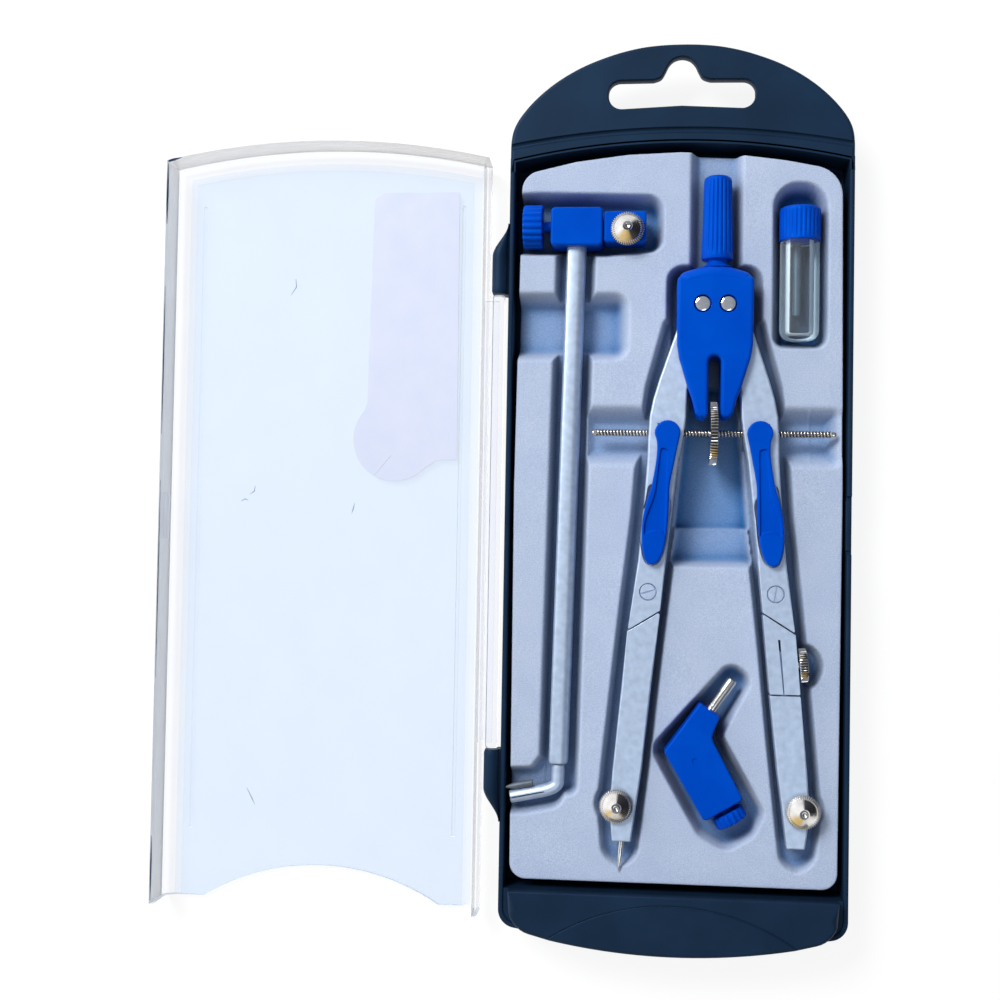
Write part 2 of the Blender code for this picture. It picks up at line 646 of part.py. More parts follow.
def upper_leg(side, name, compass):
    """Geared end, arm, room for lever, nut and spring, bore for the spindle and a fork for the knee."""
    pivot = (side * PIVOT, 0, 0)
    home = moved(sided(UPPER_LEG, side), (-pivot[0], 0))
    leg = put(slab(name, home, -LEG_HALF, LEG_HALF), name, compass, satin_silver(), pivot)
    soften(leg, 0.4, 1, 50)
    gear = put(slab(f"{name}_gear", geared_end(18 if side > 0 else 0), -LEG_HALF + 0.8, LEG_HALF - 0.8),
               f"{name}_gear", compass, at=pivot)
    thin = [Vector((side * -1.0, 4.5)), Vector((side * 9.0, 4.5)), Vector((side * 5.6, -3.6)),
            Vector((side * 0.2, -3.6))]
    cheeks = [put(slab(f"{name}_cheek_{z}", thin, z, z + 4), f"{name}_cheek_{z}", compass)
              for z in (LEG_HALF - 0.8, -LEG_HALF + 0.8 - 4)]
    bore = put(rod(f"{name}_pivot_bore", 1.4, -4, 4, 14), f"{name}_pivot_bore", compass, at=pivot)
    across = put(rod(f"{name}_spindle_bore", 1.4, -8, 8, 14), f"{name}_spindle_bore", compass,
                 at=(side * 11.4, SPINDLE_V, 0), turn=facing((1, 0, 0)))
    x, y = side * 11.35, SPINDLE_V
    window = put(block(f"{name}_window", (x - 2.3, y - 2.3, -1.8), (x + 2.3, y + 2.3, 4)), f"{name}_window", compass)
    well = put(slab(f"{name}_well", sided(rounded([(16.7, -57.5, 1.5), (15.5, -62.9, 0.8), (13.4, -62.9, 0.8),
                                                   (11.5, -57.5, 1.5), (11.9, -50.5, 1.2), (15.6, -50.5, 1.2)]),
                                            side), 0.4, 4), f"{name}_well", compass)
    under_pad = put(slab(f"{name}_under_pad", sided([Vector((19.0, -47.0)), Vector((19.5, -64.4)), Vector((11.6, -64.4)),
                                                    Vector((9.0, -56.0)), Vector((8.0, -47.0))], side), 1.0, 4),
                    f"{name}_under_pad", compass)
    lug_room = put(block(f"{name}_lug_room", (-1.6, -1.9, 0.4), (1.6, 1.9, 4)), f"{name}_lug_room", compass,
                   at=(side * LEVER_PIN[0], LEVER_PIN[1], 0))
    pin_bore = put(rod(f"{name}_pin_bore", 0.8, -2.9, 2.9, 10), f"{name}_pin_bore", compass,
                   at=(side * LEVER_PIN[0], LEVER_PIN[1], 1.55), turn=facing((1, side * 0.17, 0)))
    fork = put(slab(f"{name}_fork", sided([Vector((25, -60)), Vector((25, -90)), Vector((5, -90)),
                                           Vector((5, -60)), Vector((11, -66.2)), Vector((19.5, -66.2))], side),
                    -1.0, 1.0), f"{name}_fork", compass)
    knee = put(rod(f"{name}_knee_bore", 1.25, -4, 4, 14), f"{name}_knee_bore", compass,
               at=(side * KNEE[0], KNEE[1], 0))
    seat = put(rod(f"{name}_knee_seat", 2.15, LEG_HALF - 1.0, 4, 18), f"{name}_knee_seat", compass,
               at=(side * KNEE[0], KNEE[1], 0))
    cut(leg, *cheeks)
    add(leg, gear)
    cut(leg, bore, across, window, under_pad, well, lug_room, pin_bore, fork, knee, seat)
    return leg


def knee_tongue(side, name, compass):
    """The flat eye of a lower leg, inside the upper leg's fork."""
    eye = put(slab(f"{name}_eye", sided(arc(KNEE, 3.0, -20, 200, 12) + [Vector((13.4, -84)), Vector((20.3, -84))],
                                        side), -0.7, 0.7), f"{name}_eye", compass)
    hole = put(rod(f"{name}_eye_bore", 1.25, -4, 4, 14), f"{name}_eye_bore", compass,
               at=(side * KNEE[0], KNEE[1], 0))
    return eye, hole


def lower_leg(side, name, low, compass, tail):
    """From the slanted knee seam down to low; tail lists the outline's last points, outside first."""
    outer, inner = leg_line(low)[0], leg_line(low)[1]
    points = [Vector((20.35, -80.45)), Vector((outer, low)), *[Vector(p) for p in tail], Vector((inner, low)),
              Vector((12.4, -75.42))]
    knee = (side * KNEE[0], KNEE[1], 0)
    leg = put(slab(name, moved(sided(points, side), (-knee[0], -knee[1])), -LEG_HALF, LEG_HALF), name, compass,
              satin_silver(), knee)
    soften(leg, 0.4, 1, 50)
    eye, hole = knee_tongue(side, name, compass)
    add(leg, eye)
    cut(leg, hole)
    return leg


def along_leg(side):
    """Unit vector down a lower leg."""
    return Vector((side * math.sin(LEG_TILT), -math.cos(LEG_TILT), 0))


def conical_nut(name, at, parent):
    """A knurled rim under a cone, with a small crown."""
    rim = 1.1
    nut = put(fluted(name, [(NUT_RADIUS, 0), (NUT_RADIUS, rim), (NUT_RADIUS - 0.35, rim + 0.35)], 24, 0.18), name,
              parent, bright_steel(), at)
    cone = turned(f"{name}_cone", [(0, 4.3), (0.75, 4.3), (0.8, 3.9), (NUT_RADIUS - 0.5, rim + 0.2), (1.0, 0.3),
                                   (0, 0.3)], parent, bright_steel(), at, (0, 0, 1), 24)
    return guide(nut, cone)


def guide(obj, other):
    """Joins other to obj and makes other a guide."""
    SHELLS["parts"].objects.unlink(other)
    SHELLS["cutters"].objects.link(other)
    other.hide_render = True
    other.display_type = "WIRE"
    add(obj, other)
    return obj


def nut_and_stud(name, x, y, top, parent, depth=2.2):
    """The nut, open below for its stud."""
    nut = conical_nut(f"{name}_nut", (x, y, top + GAP), parent)
    room = put(rod(f"{name}_nut_bore", 1.35, -1, 2.6, 12), f"{name}_nut_bore", parent, at=(x, y, top + GAP))
    cut(nut, room)
    put(rod(f"{name}_stud", 1.05, -depth, 1.9, 12), f"{name}_stud", parent, bright_steel(), (x, y, top + GAP))
    return nut


def head_outline():
    right = [Vector((1.5, -14.2)), Vector((1.5, -27.0)), Vector((2.0, -27.9)), Vector((3.6, -27.9)),
             Vector((4.5, -27.0)), Vector((5.4, -23.5)), Vector((6.7, -19.8)), Vector((8.7, -13.2)),
             Vector((9.2, -10.0)), Vector((9.2, 7.7)), Vector((8.2, 9.0)), Vector((4.0, 9.6))]
    left = [Vector((-p.x, p.y)) for p in right[::-1]]
    crown = [Vector((-p.x, p.y)) for p in arc((0, -14.2), 1.5, 0, 180, 6)][1:-1]
    return right + left + crown


def head_cover(name, front, compass):
    """Half of the head: a plate over the legs, with walls round their geared ends."""
    face = 1 if front else -1
    low, high = sorted((face * GAP / 2, face * HEAD_HALF))
    cover = put(slab(name, head_outline(), low, high), name, compass, blue_plastic())
    soften(cover, 0.7, 2, 50)
    room = [Vector(p) for p in ((8.2, 5.2), (-8.2, 5.2), (-8.2, -1.8), (-14, -1.8), (-14, -40), (14, -40),
                                (14, -1.8), (8.2, -1.8))]
    low, high = sorted((0.0, face * (LEG_HALF + GAP + 0.1)))
    hollow = put(slab(f"{name}_room", room, low - 0.5, high + 0.0) if front else
                 slab(f"{name}_room", room, low, high + 0.5), f"{name}_room", compass)
    neck = put(rod(f"{name}_neck_bore", 1.7, 4.8, 14, 14), f"{name}_neck_bore", compass, turn=facing((0, 1, 0)))
    cuts = []
    for side in (-1, 1):
        if front:
            cuts.append(put(rod(f"{name}_bore_{side}", 1.4, -1, 6, 16), f"{name}_bore_{side}", compass,
                            at=(side * PIVOT, 0.01, 0)))
            cuts.append(put(rod(f"{name}_recess_{side}", 2.15, HEAD_HALF - 1.3, 6, 22), f"{name}_recess_{side}",
                            compass, at=(side * PIVOT, 0, 0)))
        else:
            cuts.append(put(rod(f"{name}_bore_{side}", 1.4, -HEAD_HALF + 0.8, 0.5, 16), f"{name}_bore_{side}",
                            compass, at=(side * PIVOT, 0.01, 0)))
    cut(cover, *cuts, hollow, neck)
    return cover


def cross_screw(name, at, compass):
    """A pan-head screw with a cross recess."""
    screw = turned(name, [(0, HEAD_HALF - 0.1), (1.1, HEAD_HALF - 0.15), (1.85, HEAD_HALF - 0.45),
                          (1.85, HEAD_HALF - 1.0), (1.1, HEAD_HALF - 1.0), (1.1, -HEAD_HALF + 1.1),
                          (0, -HEAD_HALF + 1.1)], compass, bright_steel(), at, (0, 0, 1), 16)
    for k, (w, h) in enumerate(((2.2, 0.5), (0.5, 2.2))):
        cut(screw, put(block(f"{name}_slot_{k}", (-w / 2, -h / 2, HEAD_HALF - 0.6), (w / 2, h / 2, HEAD_HALF + 1)),
                       f"{name}_slot_{k}", compass, at=at))
    return screw


def slotted_screw(name, side, compass):
    """The knee screw, flush in the upper leg."""
    at = (side * KNEE[0], KNEE[1], 0)
    screw = turned(name, [(0, LEG_HALF - 0.05), (1.85, LEG_HALF - 0.05), (1.85, LEG_HALF - 0.7),
                          (0.95, LEG_HALF - 0.7), (0.95, -LEG_HALF + 0.1), (0, -LEG_HALF + 0.1)], compass,
                   satin_silver(), at, (0, 0, 1), 18)
    cut(screw, put(block(f"{name}_slot", (-2.4, -0.2, LEG_HALF - 0.4), (2.4, 0.2, LEG_HALF + 1)), f"{name}_slot",
                   compass, at=at, turn=(0, 0, 0.3 if side < 0 else 1.4)))
    return screw


def release_lever(side, name, compass):
    """Rocks on its pin: pressing the pad lifts the half nut off the spindle."""
    pin = (side * LEVER_PIN[0], LEVER_PIN[1], 1.55)
    low, high = LEG_HALF + GAP - pin[2], LEG_HALF + 2.1 - pin[2]
    head = arc(LEVER_HEAD, 3.15, 0, 180, 10)
    points = head[:-1] + [Vector(p) for p in LEVER[::-1]][1:-1]
    lever = put(slab(name, moved(sided(points, side), (-pin[0], -pin[1])), low, high), name, compass,
                blue_plastic(), pin)
    soften(lever, 0.45, 2, 50)
    lug = put(block(f"{name}_lug", (-1.2, -1.35, -0.85), (1.2, 1.35, low + 0.3)), f"{name}_lug", compass, at=pin)
    hole = put(rod(f"{name}_bore", 0.8 - 0.02, -3, 3, 10), f"{name}_bore", compass, at=pin,
               turn=facing((1, side * 0.17, 0)))
    groove = put(slab(f"{name}_groove", sided(rounded([(13.3, -36.0, 0.6), (13.6, -47.0, 0.8), (11.9, -47.0, 0.8),
                                                       (10.9, -36.0, 0.6)]), side), LEG_HALF + 1.6, LEG_HALF + 4),
                 f"{name}_groove", compass)
    add(lever, lug)
    cut(lever, hole, groove)
    put(rod(f"{name}_pin", 0.5, -2.5, 2.5, 10), f"{name}_pin", compass, bright_steel(), pin,
        facing((1, side * 0.17, 0)))
    return lever


def half_nut(side, name, compass):
    """A threaded half shell that the lever holds down on the spindle."""
    x, y = side * 11.35, SPINDLE_V
    nut = put(block(name, (x - 1.8, y - 1.9, 0.15), (x + 1.8, y + 1.9, LEG_HALF)), name, compass, bright_steel())
    cut(nut, put(rod(f"{name}_thread", 1.3, -4, 4, 16), f"{name}_thread", compass, at=(x, y, 0),
                 turn=facing((1, 0, 0))))
    return nut


def lever_spring(side, name, compass):
    """Pushes the pad up."""
    turns, per_turn, wire, radius = 2.5, 10, 0.16, 0.95
    low, high = 0.4 + GAP + wire, LEG_HALF - wire
    steps = int(turns * per_turn)
    points = []
    for k in range(steps + 1):
        a = 2 * math.pi * k / per_turn
        points.append((side * 14.0 + radius * math.cos(a), -56.5 + radius * math.sin(a),
                       low + (high - low) * k / steps))
    return tube_along(name, points, wire, compass, bright_steel(), 1)


def spindle_and_wheel(compass):
    at = (0, SPINDLE_V, 0)
    turned("threaded_spindle", [(0, 29.8), (0.65, 29.8), (0.7, 28.7), (1.0, 28.4), (1.0, -28.4), (0.7, -28.7),
                                (0.65, -29.8), (0, -29.8)], compass, bright_steel(), at, (1, 0, 0), 14)
    wheel = put(fluted("adjusting_wheel", [(WHEEL_RADIUS - 0.25, -1.1), (WHEEL_RADIUS, -0.85),
                                           (WHEEL_RADIUS, 0.85), (WHEEL_RADIUS - 0.25, 1.1)], 40, 0.22),
                "adjusting_wheel", compass, bright_steel(), at, facing((1, 0, 0)))
    cut(wheel, put(rod("wheel_bore", 1.3, -3, 3, 16), "wheel_bore", compass, at=at, turn=facing((1, 0, 0))))


def compass_handle(compass):
    grip = put(fluted("compass_handle", [(3.1, 11.6), (3.3, 12.2), (3.0, 31.2), (2.6, 31.8)], 14, 0.28),
               "compass_handle", compass, blue_plastic(), turn=facing((0, 1, 0)))
    neck = turned("handle_neck", [(0, 12.5), (2.2, 12.5), (2.2, 9.6 + GAP), (1.35, 9.6 + GAP), (1.35, 5.6),
                                  (0, 5.6)], compass, blue_plastic(), (0, 0, 0), (0, 1, 0), 16)
    guide(grip, neck)


def needle_leg(compass):
    """Left lower leg with the needle and its clamp nut."""
    tail = [(23.9, -125.5), (23.3, -131.6), (18.8, -131.6)]
    leg = lower_leg(-1, "left_lower_leg", -119.0, compass, tail)
    down = along_leg(-1)
    mouth = Vector((-21.05, -131.6, 0.4))
    cut(leg, put(rod("needle_bore", 0.95, -11, 2, 12), "needle_bore", compass, at=mouth, turn=facing(down)),
        put(rod("needle_stud_bore", 1.35, -2.2, 4, 12), "needle_stud_bore", compass,
            at=(-CLAMP[0], CLAMP[1], LEG_HALF)))
    turned("needle", [(0, 7.6), (0.12, 7.6), (0.6, 4.6), (0.65, -7.0), (0, -7.0)], compass, bright_steel(), mouth,
           down, 12)
    nut_and_stud("needle_clamp", -CLAMP[0], CLAMP[1], LEG_HALF, compass, 1.7)


def lead_leg(compass):
    """Right lower leg: a slit socket with a side clamp screw, and the lead holder that plugs into it."""
    socket_foot = -94.9
    leg = lower_leg(1, "right_lower_leg", socket_foot, compass, [])
    down = along_leg(1)
    middle = Vector((sum(leg_line(socket_foot)) / 2, socket_foot, 0))
    bore = put(rod("socket_bore", 1.7, -11.5, 3, 14), "socket_bore", compass, at=middle, turn=facing(down))
    slit = put(block("socket_slit", (-0.22, -0.5, -4), (0.22, 13.3, 4)), "socket_slit", compass, at=middle,
               turn=(0, 0, LEG_TILT))
    screw_at = Vector((leg_line(-87.9)[0], -87.9, 0))
    outward = Vector((math.cos(LEG_TILT), math.sin(LEG_TILT), 0))
    screw_bore = put(rod("side_bore", 1.2, -3.0, 3, 12), "side_bore", compass, at=screw_at, turn=facing(outward))
    cut(leg, bore, slit, screw_bore)
    head = put(fluted("side_clamp_screw", [(3.85, 0.35), (4.1, 0.6), (4.1, 2.1), (3.85, 2.35)], 24, 0.2),
               "side_clamp_screw", compass, bright_steel(), screw_at, facing(outward))
    shank = turned("side_shank", [(0, 1.5), (0.9, 1.5), (0.9, -1.8), (0, -1.8)], compass, bright_steel(),
                   screw_at, outward, 12)
    guide(head, shank)
    lead_holder(compass, middle, down, socket_foot)


def lead_holder(compass, middle, down, socket_foot):
    top = socket_foot - GAP
    points = [(leg_line(top)[0], top), (leg_line(-119)[0], -119.0), (23.9, -125.5), (23.0, -132.0),
              (18.7, -132.0), (leg_line(-119)[1], -119.0), (leg_line(top)[1], top)]
    holder = put(slab("lead_holder", moved([Vector(p) for p in points], (-middle.x, -middle.y)), -LEG_HALF,
                      LEG_HALF), "lead_holder", compass, satin_silver(), middle)
    soften(holder, 0.4, 1, 50)
    pin = turned("holder_pin", [(0, 2), (1.4, 2), (1.4, -10.4), (1.1, -10.8), (0, -10.8)], compass, satin_silver(),
                 middle, down, 14)
    guide(holder, pin)
    cut(holder, put(rod("lead_bore", 1.1, -9, 2, 12), "lead_bore", compass, at=(20.9, -132.0, 0),
                    turn=facing(down)),
        put(rod("lead_stud_bore", 1.35, -2.2, 4, 12), "lead_stud_bore", compass, at=(CLAMP[0], CLAMP[1], LEG_HALF)))
    nut_and_stud("lead_clamp", CLAMP[0], CLAMP[1], LEG_HALF, compass, 1.7)


def bow_compass(case):
    compass = empty("compass_frame", case, (AXIS_X, PIVOT_Y, MID))
    head_cover("head_front_cover", True, compass)
    head_cover("head_rear_cover", False, compass)
    compass_handle(compass)
    for side, word in ((-1, "left"), (1, "right")):
        cross_screw(f"{word}_head_screw", (side * PIVOT, 0, 0), compass)
        upper_leg(side, f"{word}_upper_leg", compass)
        release_lever(side, f"{word}_release_lever", compass)
        half_nut(side, f"{word}_half_nut", compass)
        lever_spring(side, f"{word}_lever_spring", compass)
        slotted_screw(f"{word}_knee_screw", side, compass)
    spindle_and_wheel(compass)
    needle_leg(compass)
    lead_leg(compass)


# --- extension bar ------------------------------------------------------------------------------
def extension_bar(case):
    head = empty("bar_frame", case, (*BAR_TOP, BAR_Z))
    down = Vector((math.sin(BAR_LEAN), -math.cos(BAR_LEAN), 0))
    bar = put(rod("extension_bar", 2.42, 2.5, BAR_LENGTH, 8), "extension_bar", head, satin_silver(),
              turn=facing(down))
    bar.rotation_euler.rotate_axis("Z", math.radians(22.5))
    soften(bar, 0.25, 1, 30)
    body = put(block("bar_block", (-6.5, -4.8, -4.5), (6.4, 4.8, 4.5)), "bar_block", head, blue_plastic())
    soften(body, 0.8, 2, 50)
    seat = put(rod("bar_seat", 2.42 + GAP + 0.1, 1.9, 12, 16), "bar_seat", head, turn=facing(down))
    bore = put(rod("bar_knob_bore", 1.6, -9, -2.9, 14), "bar_knob_bore", head, at=(0, 0.65, 0),
               turn=facing((1, 0, 0)))
    socket = put(rod("bar_spigot_bore", 2.3, 3.2, 9, 14), "bar_spigot_bore", head, turn=facing((1, 0, 0)))
    cut(body, seat, bore, socket)
    holder = put(block("bar_holder", (6.7, -3.9, -3.8), (17.2, 3.9, 3.8)), "bar_holder", head, blue_plastic())
    soften(holder, 0.8, 2, 50)
    spigot = turned("bar_spigot", [(0, 8), (2.0, 8), (2.0, 3.6), (0, 3.6)], head, blue_plastic(), (0, 0, 0),
                    (1, 0, 0), 14)
    guide(holder, spigot)
    nut_x, nut_y = 12.5, -0.8
    cut(holder, put(rod("bar_stud_bore", 1.35, -2.4, 3, 12), "bar_stud_bore", head, at=(nut_x, nut_y, 3.8)),
        put(rod("bar_lead_bore", 1.2, -6, 2, 12), "bar_lead_bore", head, at=(17.2, 0, -1.0), turn=facing((1, 0, 0))))
    nut_and_stud("bar_clamp", nut_x, nut_y, 3.8, head, 1.9)
    knob = put(fluted("bar_knob", [(5.1, 0), (5.45, 0.35), (5.45, 4.5), (5.1, 4.85)], 18, 0.32), "bar_knob", head,
               blue_plastic(), (-13.5, 0.65, 0), facing((1, 0, 0)))
    stem = turned("bar_knob_stem", [(0, 10.2), (1.25, 10.2), (1.25, 3.0), (0, 3.0)], head, blue_plastic(),
                  (-13.5, 0.65, 0), (1, 0, 0), 14)
    guide(knob, stem)
    bar_spigot_end(head, down)


def bar_spigot_end(head, down):
    """The split spigot at the bar's foot, bent aside, and the steel point beside it."""
    start = down * (BAR_LENGTH + GAP)
    straight, bend = 4.1, 3.4
    heel = start + down * straight
    aim = Vector((-math.cos(math.radians(12)), -math.sin(math.radians(12)), 0))
    points = [start, start + down * 1.2]
    for k in range(9):
        t = k / 8
        corner = heel + down * bend * 0.5
        a = heel + (corner - heel) * t
        b = corner + aim * bend * 1.2 * t
        points.append(a + (b - a) * t)
    points.append(points[-1] + aim * 4.0)
    points.append(points[-1] + aim * 3.9)
    tube_along("bar_split_spigot", points, 1.62, head, satin_silver(), 3)
    tip = points[-1]
    stick = tip + Vector((-1.0, 2.25, -0.6))
    turned("bar_steel_point", [(0, 0.3), (0.1, 0.3), (0.85, -3.2), (0.85, -7.4), (0, -7.4)], head, graphite(),
           stick, (-math.cos(math.radians(11)), -math.sin(math.radians(11)), 0), 12)


# --- universal adapter --------------------------------------------------------------------------
def universal_adapter(case):
    home = empty("adapter_frame", case, (8.0, -55.0, 10.8))
    outline = rounded([(11.1, -45.8, 0.5), (6.3, -42.6, 0.5), (-2.3, -54.6, 0.6), (7.6, -71.2, 0.8),
                       (16.9, -65.6, 0.8), (9.0, -50.9, 2.5)], 3)
    body = put(slab("adapter_body", moved(outline, (-8.0, 55.0)), -4.3, 4.3), "adapter_body", home, blue_plastic())
    soften(body, 0.6, 2, 50)
    up = Vector((5.1, 7.4, 0)).normalized()
    mouth = Vector((0.95, 10.7, 0))
    bore = put(rod("adapter_pin_bore", 1.4, -8, 2, 12), "adapter_pin_bore", home, at=mouth, turn=facing(up))
    out = Vector((0.497, -0.868, 0))
    knob_at = Vector((5.9, -15.4, 0)) - out * 1.5
    knob_bore = put(rod("adapter_knob_bore", 1.5, -8, 2, 14), "adapter_knob_bore", home, at=knob_at,
                    turn=facing(out))
    cut(body, bore, knob_bore)
    turned("adapter_pin", [(0, 8.4), (0.8, 8.4), (1.1, 8.0), (1.1, -7.4), (0, -7.4)], home, bright_steel(), mouth,
           up, 14)
    knob = put(fluted("adapter_knob", [(3.8, 0.1), (4.1, 0.4), (4.1, 2.8), (3.8, 3.1)], 16, 0.28), "adapter_knob",
               home, blue_plastic(), knob_at, facing(out))
    stem = turned("adapter_knob_stem", [(0, 1), (1.2, 1), (1.2, -7), (0, -7)], home, blue_plastic(), knob_at,
                  out, 14)
    guide(knob, stem)


# --- lead tube ----------------------------------------------------------------------------------
def lead_tube(case):
    home = empty("tube_frame", case, (TUBE_AXIS[0], TUBE_FOOT_Y, TUBE_AXIS[1]))
    r = TUBE_RADIUS
    turned("lead_tube", [(0, 1.3), (r - 2.0, 1.3), (r - 1.35, 2.2), (r - 1.35, 30.6), (r - 0.6, 30.6),
                         (r - 0.6, 24.4), (r, 24.4), (r, 1.8), (r - 0.5, 0.6), (r - 1.6, 0), (0, 0)], home,
           clear_plastic(), (0, 0, 0), (0, 1, 0), 20)
    cap = put(fluted("tube_cap", [(5.1, 24.7), (5.1, 32.4), (4.7, 33.1)], 22, 0.2), "tube_cap", home,
              blue_plastic(), turn=facing((0, 1, 0)))
    cut(cap, put(rod("cap_bore", r - 0.6 + GAP, 20, 31.6, 20), "cap_bore", home, turn=facing((0, 1, 0))))
    turned("spare_lead", [(0, 29.8), (1.1, 29.8), (1.1, 6.4), (0, 6.4)], home, graphite(),
           (-0.5, 0, -2.05), (0, 1, 0), 12)


def build():
    start_scene()
    case = empty("case_frame", None, (*CASE_SHIFT, 0))
    base_shell(case)
    flocked_insert(case)
    hinge = empty("lid_hinge", case, (HINGE_X, 0, PARTING), (0, math.pi, 0))
    lid(hinge)
    bow_compass(case)
    extension_bar(case)
    universal_adapter(case)
    lead_tube(case)


build()
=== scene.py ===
"""Looks of the drafting instrument case: a black tray with a clear lid, a flocked insert and its tools.

Shapes are written in case millimetres: x = 0 on the tray's middle, z = 0 on the table.
"""
import json
import math

import bmesh
import bpy
import numpy as np
from mathutils import Matrix, Vector


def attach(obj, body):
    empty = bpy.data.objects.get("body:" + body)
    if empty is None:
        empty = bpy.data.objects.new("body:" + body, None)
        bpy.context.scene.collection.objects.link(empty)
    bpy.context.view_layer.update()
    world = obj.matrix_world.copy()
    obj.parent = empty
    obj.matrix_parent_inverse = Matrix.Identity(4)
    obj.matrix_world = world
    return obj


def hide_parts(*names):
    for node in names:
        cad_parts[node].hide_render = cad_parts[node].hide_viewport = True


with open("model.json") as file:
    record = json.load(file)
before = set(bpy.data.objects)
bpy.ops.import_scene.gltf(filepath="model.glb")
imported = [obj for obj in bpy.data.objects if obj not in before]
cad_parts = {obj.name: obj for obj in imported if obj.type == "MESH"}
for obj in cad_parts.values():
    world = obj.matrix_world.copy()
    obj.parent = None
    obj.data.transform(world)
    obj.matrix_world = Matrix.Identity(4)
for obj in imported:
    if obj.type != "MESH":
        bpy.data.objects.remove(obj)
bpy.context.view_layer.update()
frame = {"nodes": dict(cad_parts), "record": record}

MM = 0.001
SHIFT = Vector((44.3, -8.3, 0.0))                       # from case millimetres to the frame's origin
PARTING, RIM, PLATEAU = 12.5, 12.35, 11.8               # where lid and tray meet, walls' top, insert's top
HINGE_X = -44.75
TRAY_HALF, HEAD_Y, FOOT_Y = 42.5, 97.0, -104.0
HEAD_ARC, FOOT_ARC = 187, 156                           # the radii of the tray's two bowed ends
DECK_TOP, DECK_HEAD, DECK_HALF = 16.0, -89.5, 39.9
AXIS_X, PIVOT_Y, MID = 8.7, 54.8, 12.0                  # the compass's axis, head pivots and middle height
SPINDLE_V, GEAR_U, KNEE_U, KNEE_V = -31.45, 3.08, 15.45, -70.6
LEG_LEAN = 0.0925                                       # radians from the compass's axis


def at(x, y, z):
    return (Vector((x, y, z)) + SHIFT) * MM


# --- materials ----------------------------------------------------------------------------------
def socket_name(key):
    return key.replace("_", " ").title().replace("Ior", "IOR")


class Look:
    """A Principled material with helpers for procedural detail, in object millimetres."""

    def __init__(self, name, **sockets):
        self.material = bpy.data.materials.new(name)
        self.material.use_nodes = True
        self.tree = self.material.node_tree
        self.shader = self.tree.nodes["Principled BSDF"]
        for key, value in sockets.items():
            self.shader.inputs[socket_name(key)].default_value = value
        self.coords = self.tree.nodes.new("ShaderNodeTexCoord").outputs["Object"]
        self.heights = []

    def node(self, kind, **inputs):
        made = self.tree.nodes.new(f"ShaderNode{kind}")
        for key, value in inputs.items():
            slot = made.inputs[socket_name(key)]
            if isinstance(value, bpy.types.NodeSocket):
                self.tree.links.new(value, slot)
            else:
                slot.default_value = value
        return made

    def noise(self, size_mm, detail=3.0, stretch=(1, 1, 1)):
        """Noise whose lumps are about size_mm across."""
        place = self.tree.nodes.new("ShaderNodeMapping")
        place.inputs["Scale"].default_value = [s * 1000 / size_mm for s in stretch]
        self.tree.links.new(self.coords, place.inputs["Vector"])
        return self.node("TexNoise", vector=place.outputs[0], scale=1.0, detail=detail).outputs["Fac"]

    def ramp(self, value, low, high, low_colour, high_colour):
        made = self.tree.nodes.new("ShaderNodeValToRGB")
        made.color_ramp.elements[0].position = low
        made.color_ramp.elements[1].position = high
        made.color_ramp.elements[0].color = (*low_colour, 1)
        made.color_ramp.elements[1].color = (*high_colour, 1)
        self.tree.links.new(value, made.inputs[0])
        return made.outputs[0]

    def grey(self, value, low, high):
        made = self.tree.nodes.new("ShaderNodeMapRange")
        made.inputs["To Min"].default_value = low
        made.inputs["To Max"].default_value = high
        self.tree.links.new(value, made.inputs["Value"])
        return made.outputs[0]

    def times(self, one, other):
        made = self.tree.nodes.new("ShaderNodeMixRGB")
        made.blend_type = "MULTIPLY"
        made.inputs[0].default_value = 1.0
        self.tree.links.new(one, made.inputs[1])
        self.tree.links.new(other, made.inputs[2])
        return made.outputs[0]

    def set(self, socket, value):
        self.tree.links.new(value, self.shader.inputs[socket])

    def bump(self, value, height_mm):
        made = self.tree.nodes.new("ShaderNodeBump")
        made.inputs["Distance"].default_value = height_mm * MM
        self.tree.links.new(value, made.inputs["Height"])
        if self.heights:
            self.tree.links.new(self.heights[-1], made.inputs["Normal"])
        self.heights.append(made.outputs[0])
        self.set("Normal", made.outputs[0])


def plastic(name, dark, light, roughness, grain=0.01, specular=0.5, glint=(1, 1, 1)):
    """Moulded plastic: faint flow marks in colour and gloss, and a fine grain."""
    look = Look(name, roughness=roughness, specular_ior_level=specular)
    look.shader.inputs["Specular Tint"].default_value = (*glint, 1)
    look.set("Base Color", look.ramp(look.noise(14, 4), 0.35, 0.7, dark, light))
    look.set("Roughness", look.grey(look.noise(3.0, 5), roughness - 0.06, roughness + 0.08))
    look.bump(look.noise(0.35, 2), grain)
    look.bump(look.noise(9, 1), 0.05)
    return look.material


def metal(name, dark, light, roughness, metallic, grain=0.004, size=0.6):
    """Metal with faint clouds in colour and gloss, and a grain about size millimetres across."""
    look = Look(name, roughness=roughness, metallic=metallic)
    look.set("Base Color", look.ramp(look.noise(size * 6, 5), 0.3, 0.75, dark, light))
    look.set("Roughness", look.grey(look.noise(size * 2, 4), roughness * 0.8, roughness * 1.25))
    look.bump(look.noise(size, 3), grain)
    return look.material


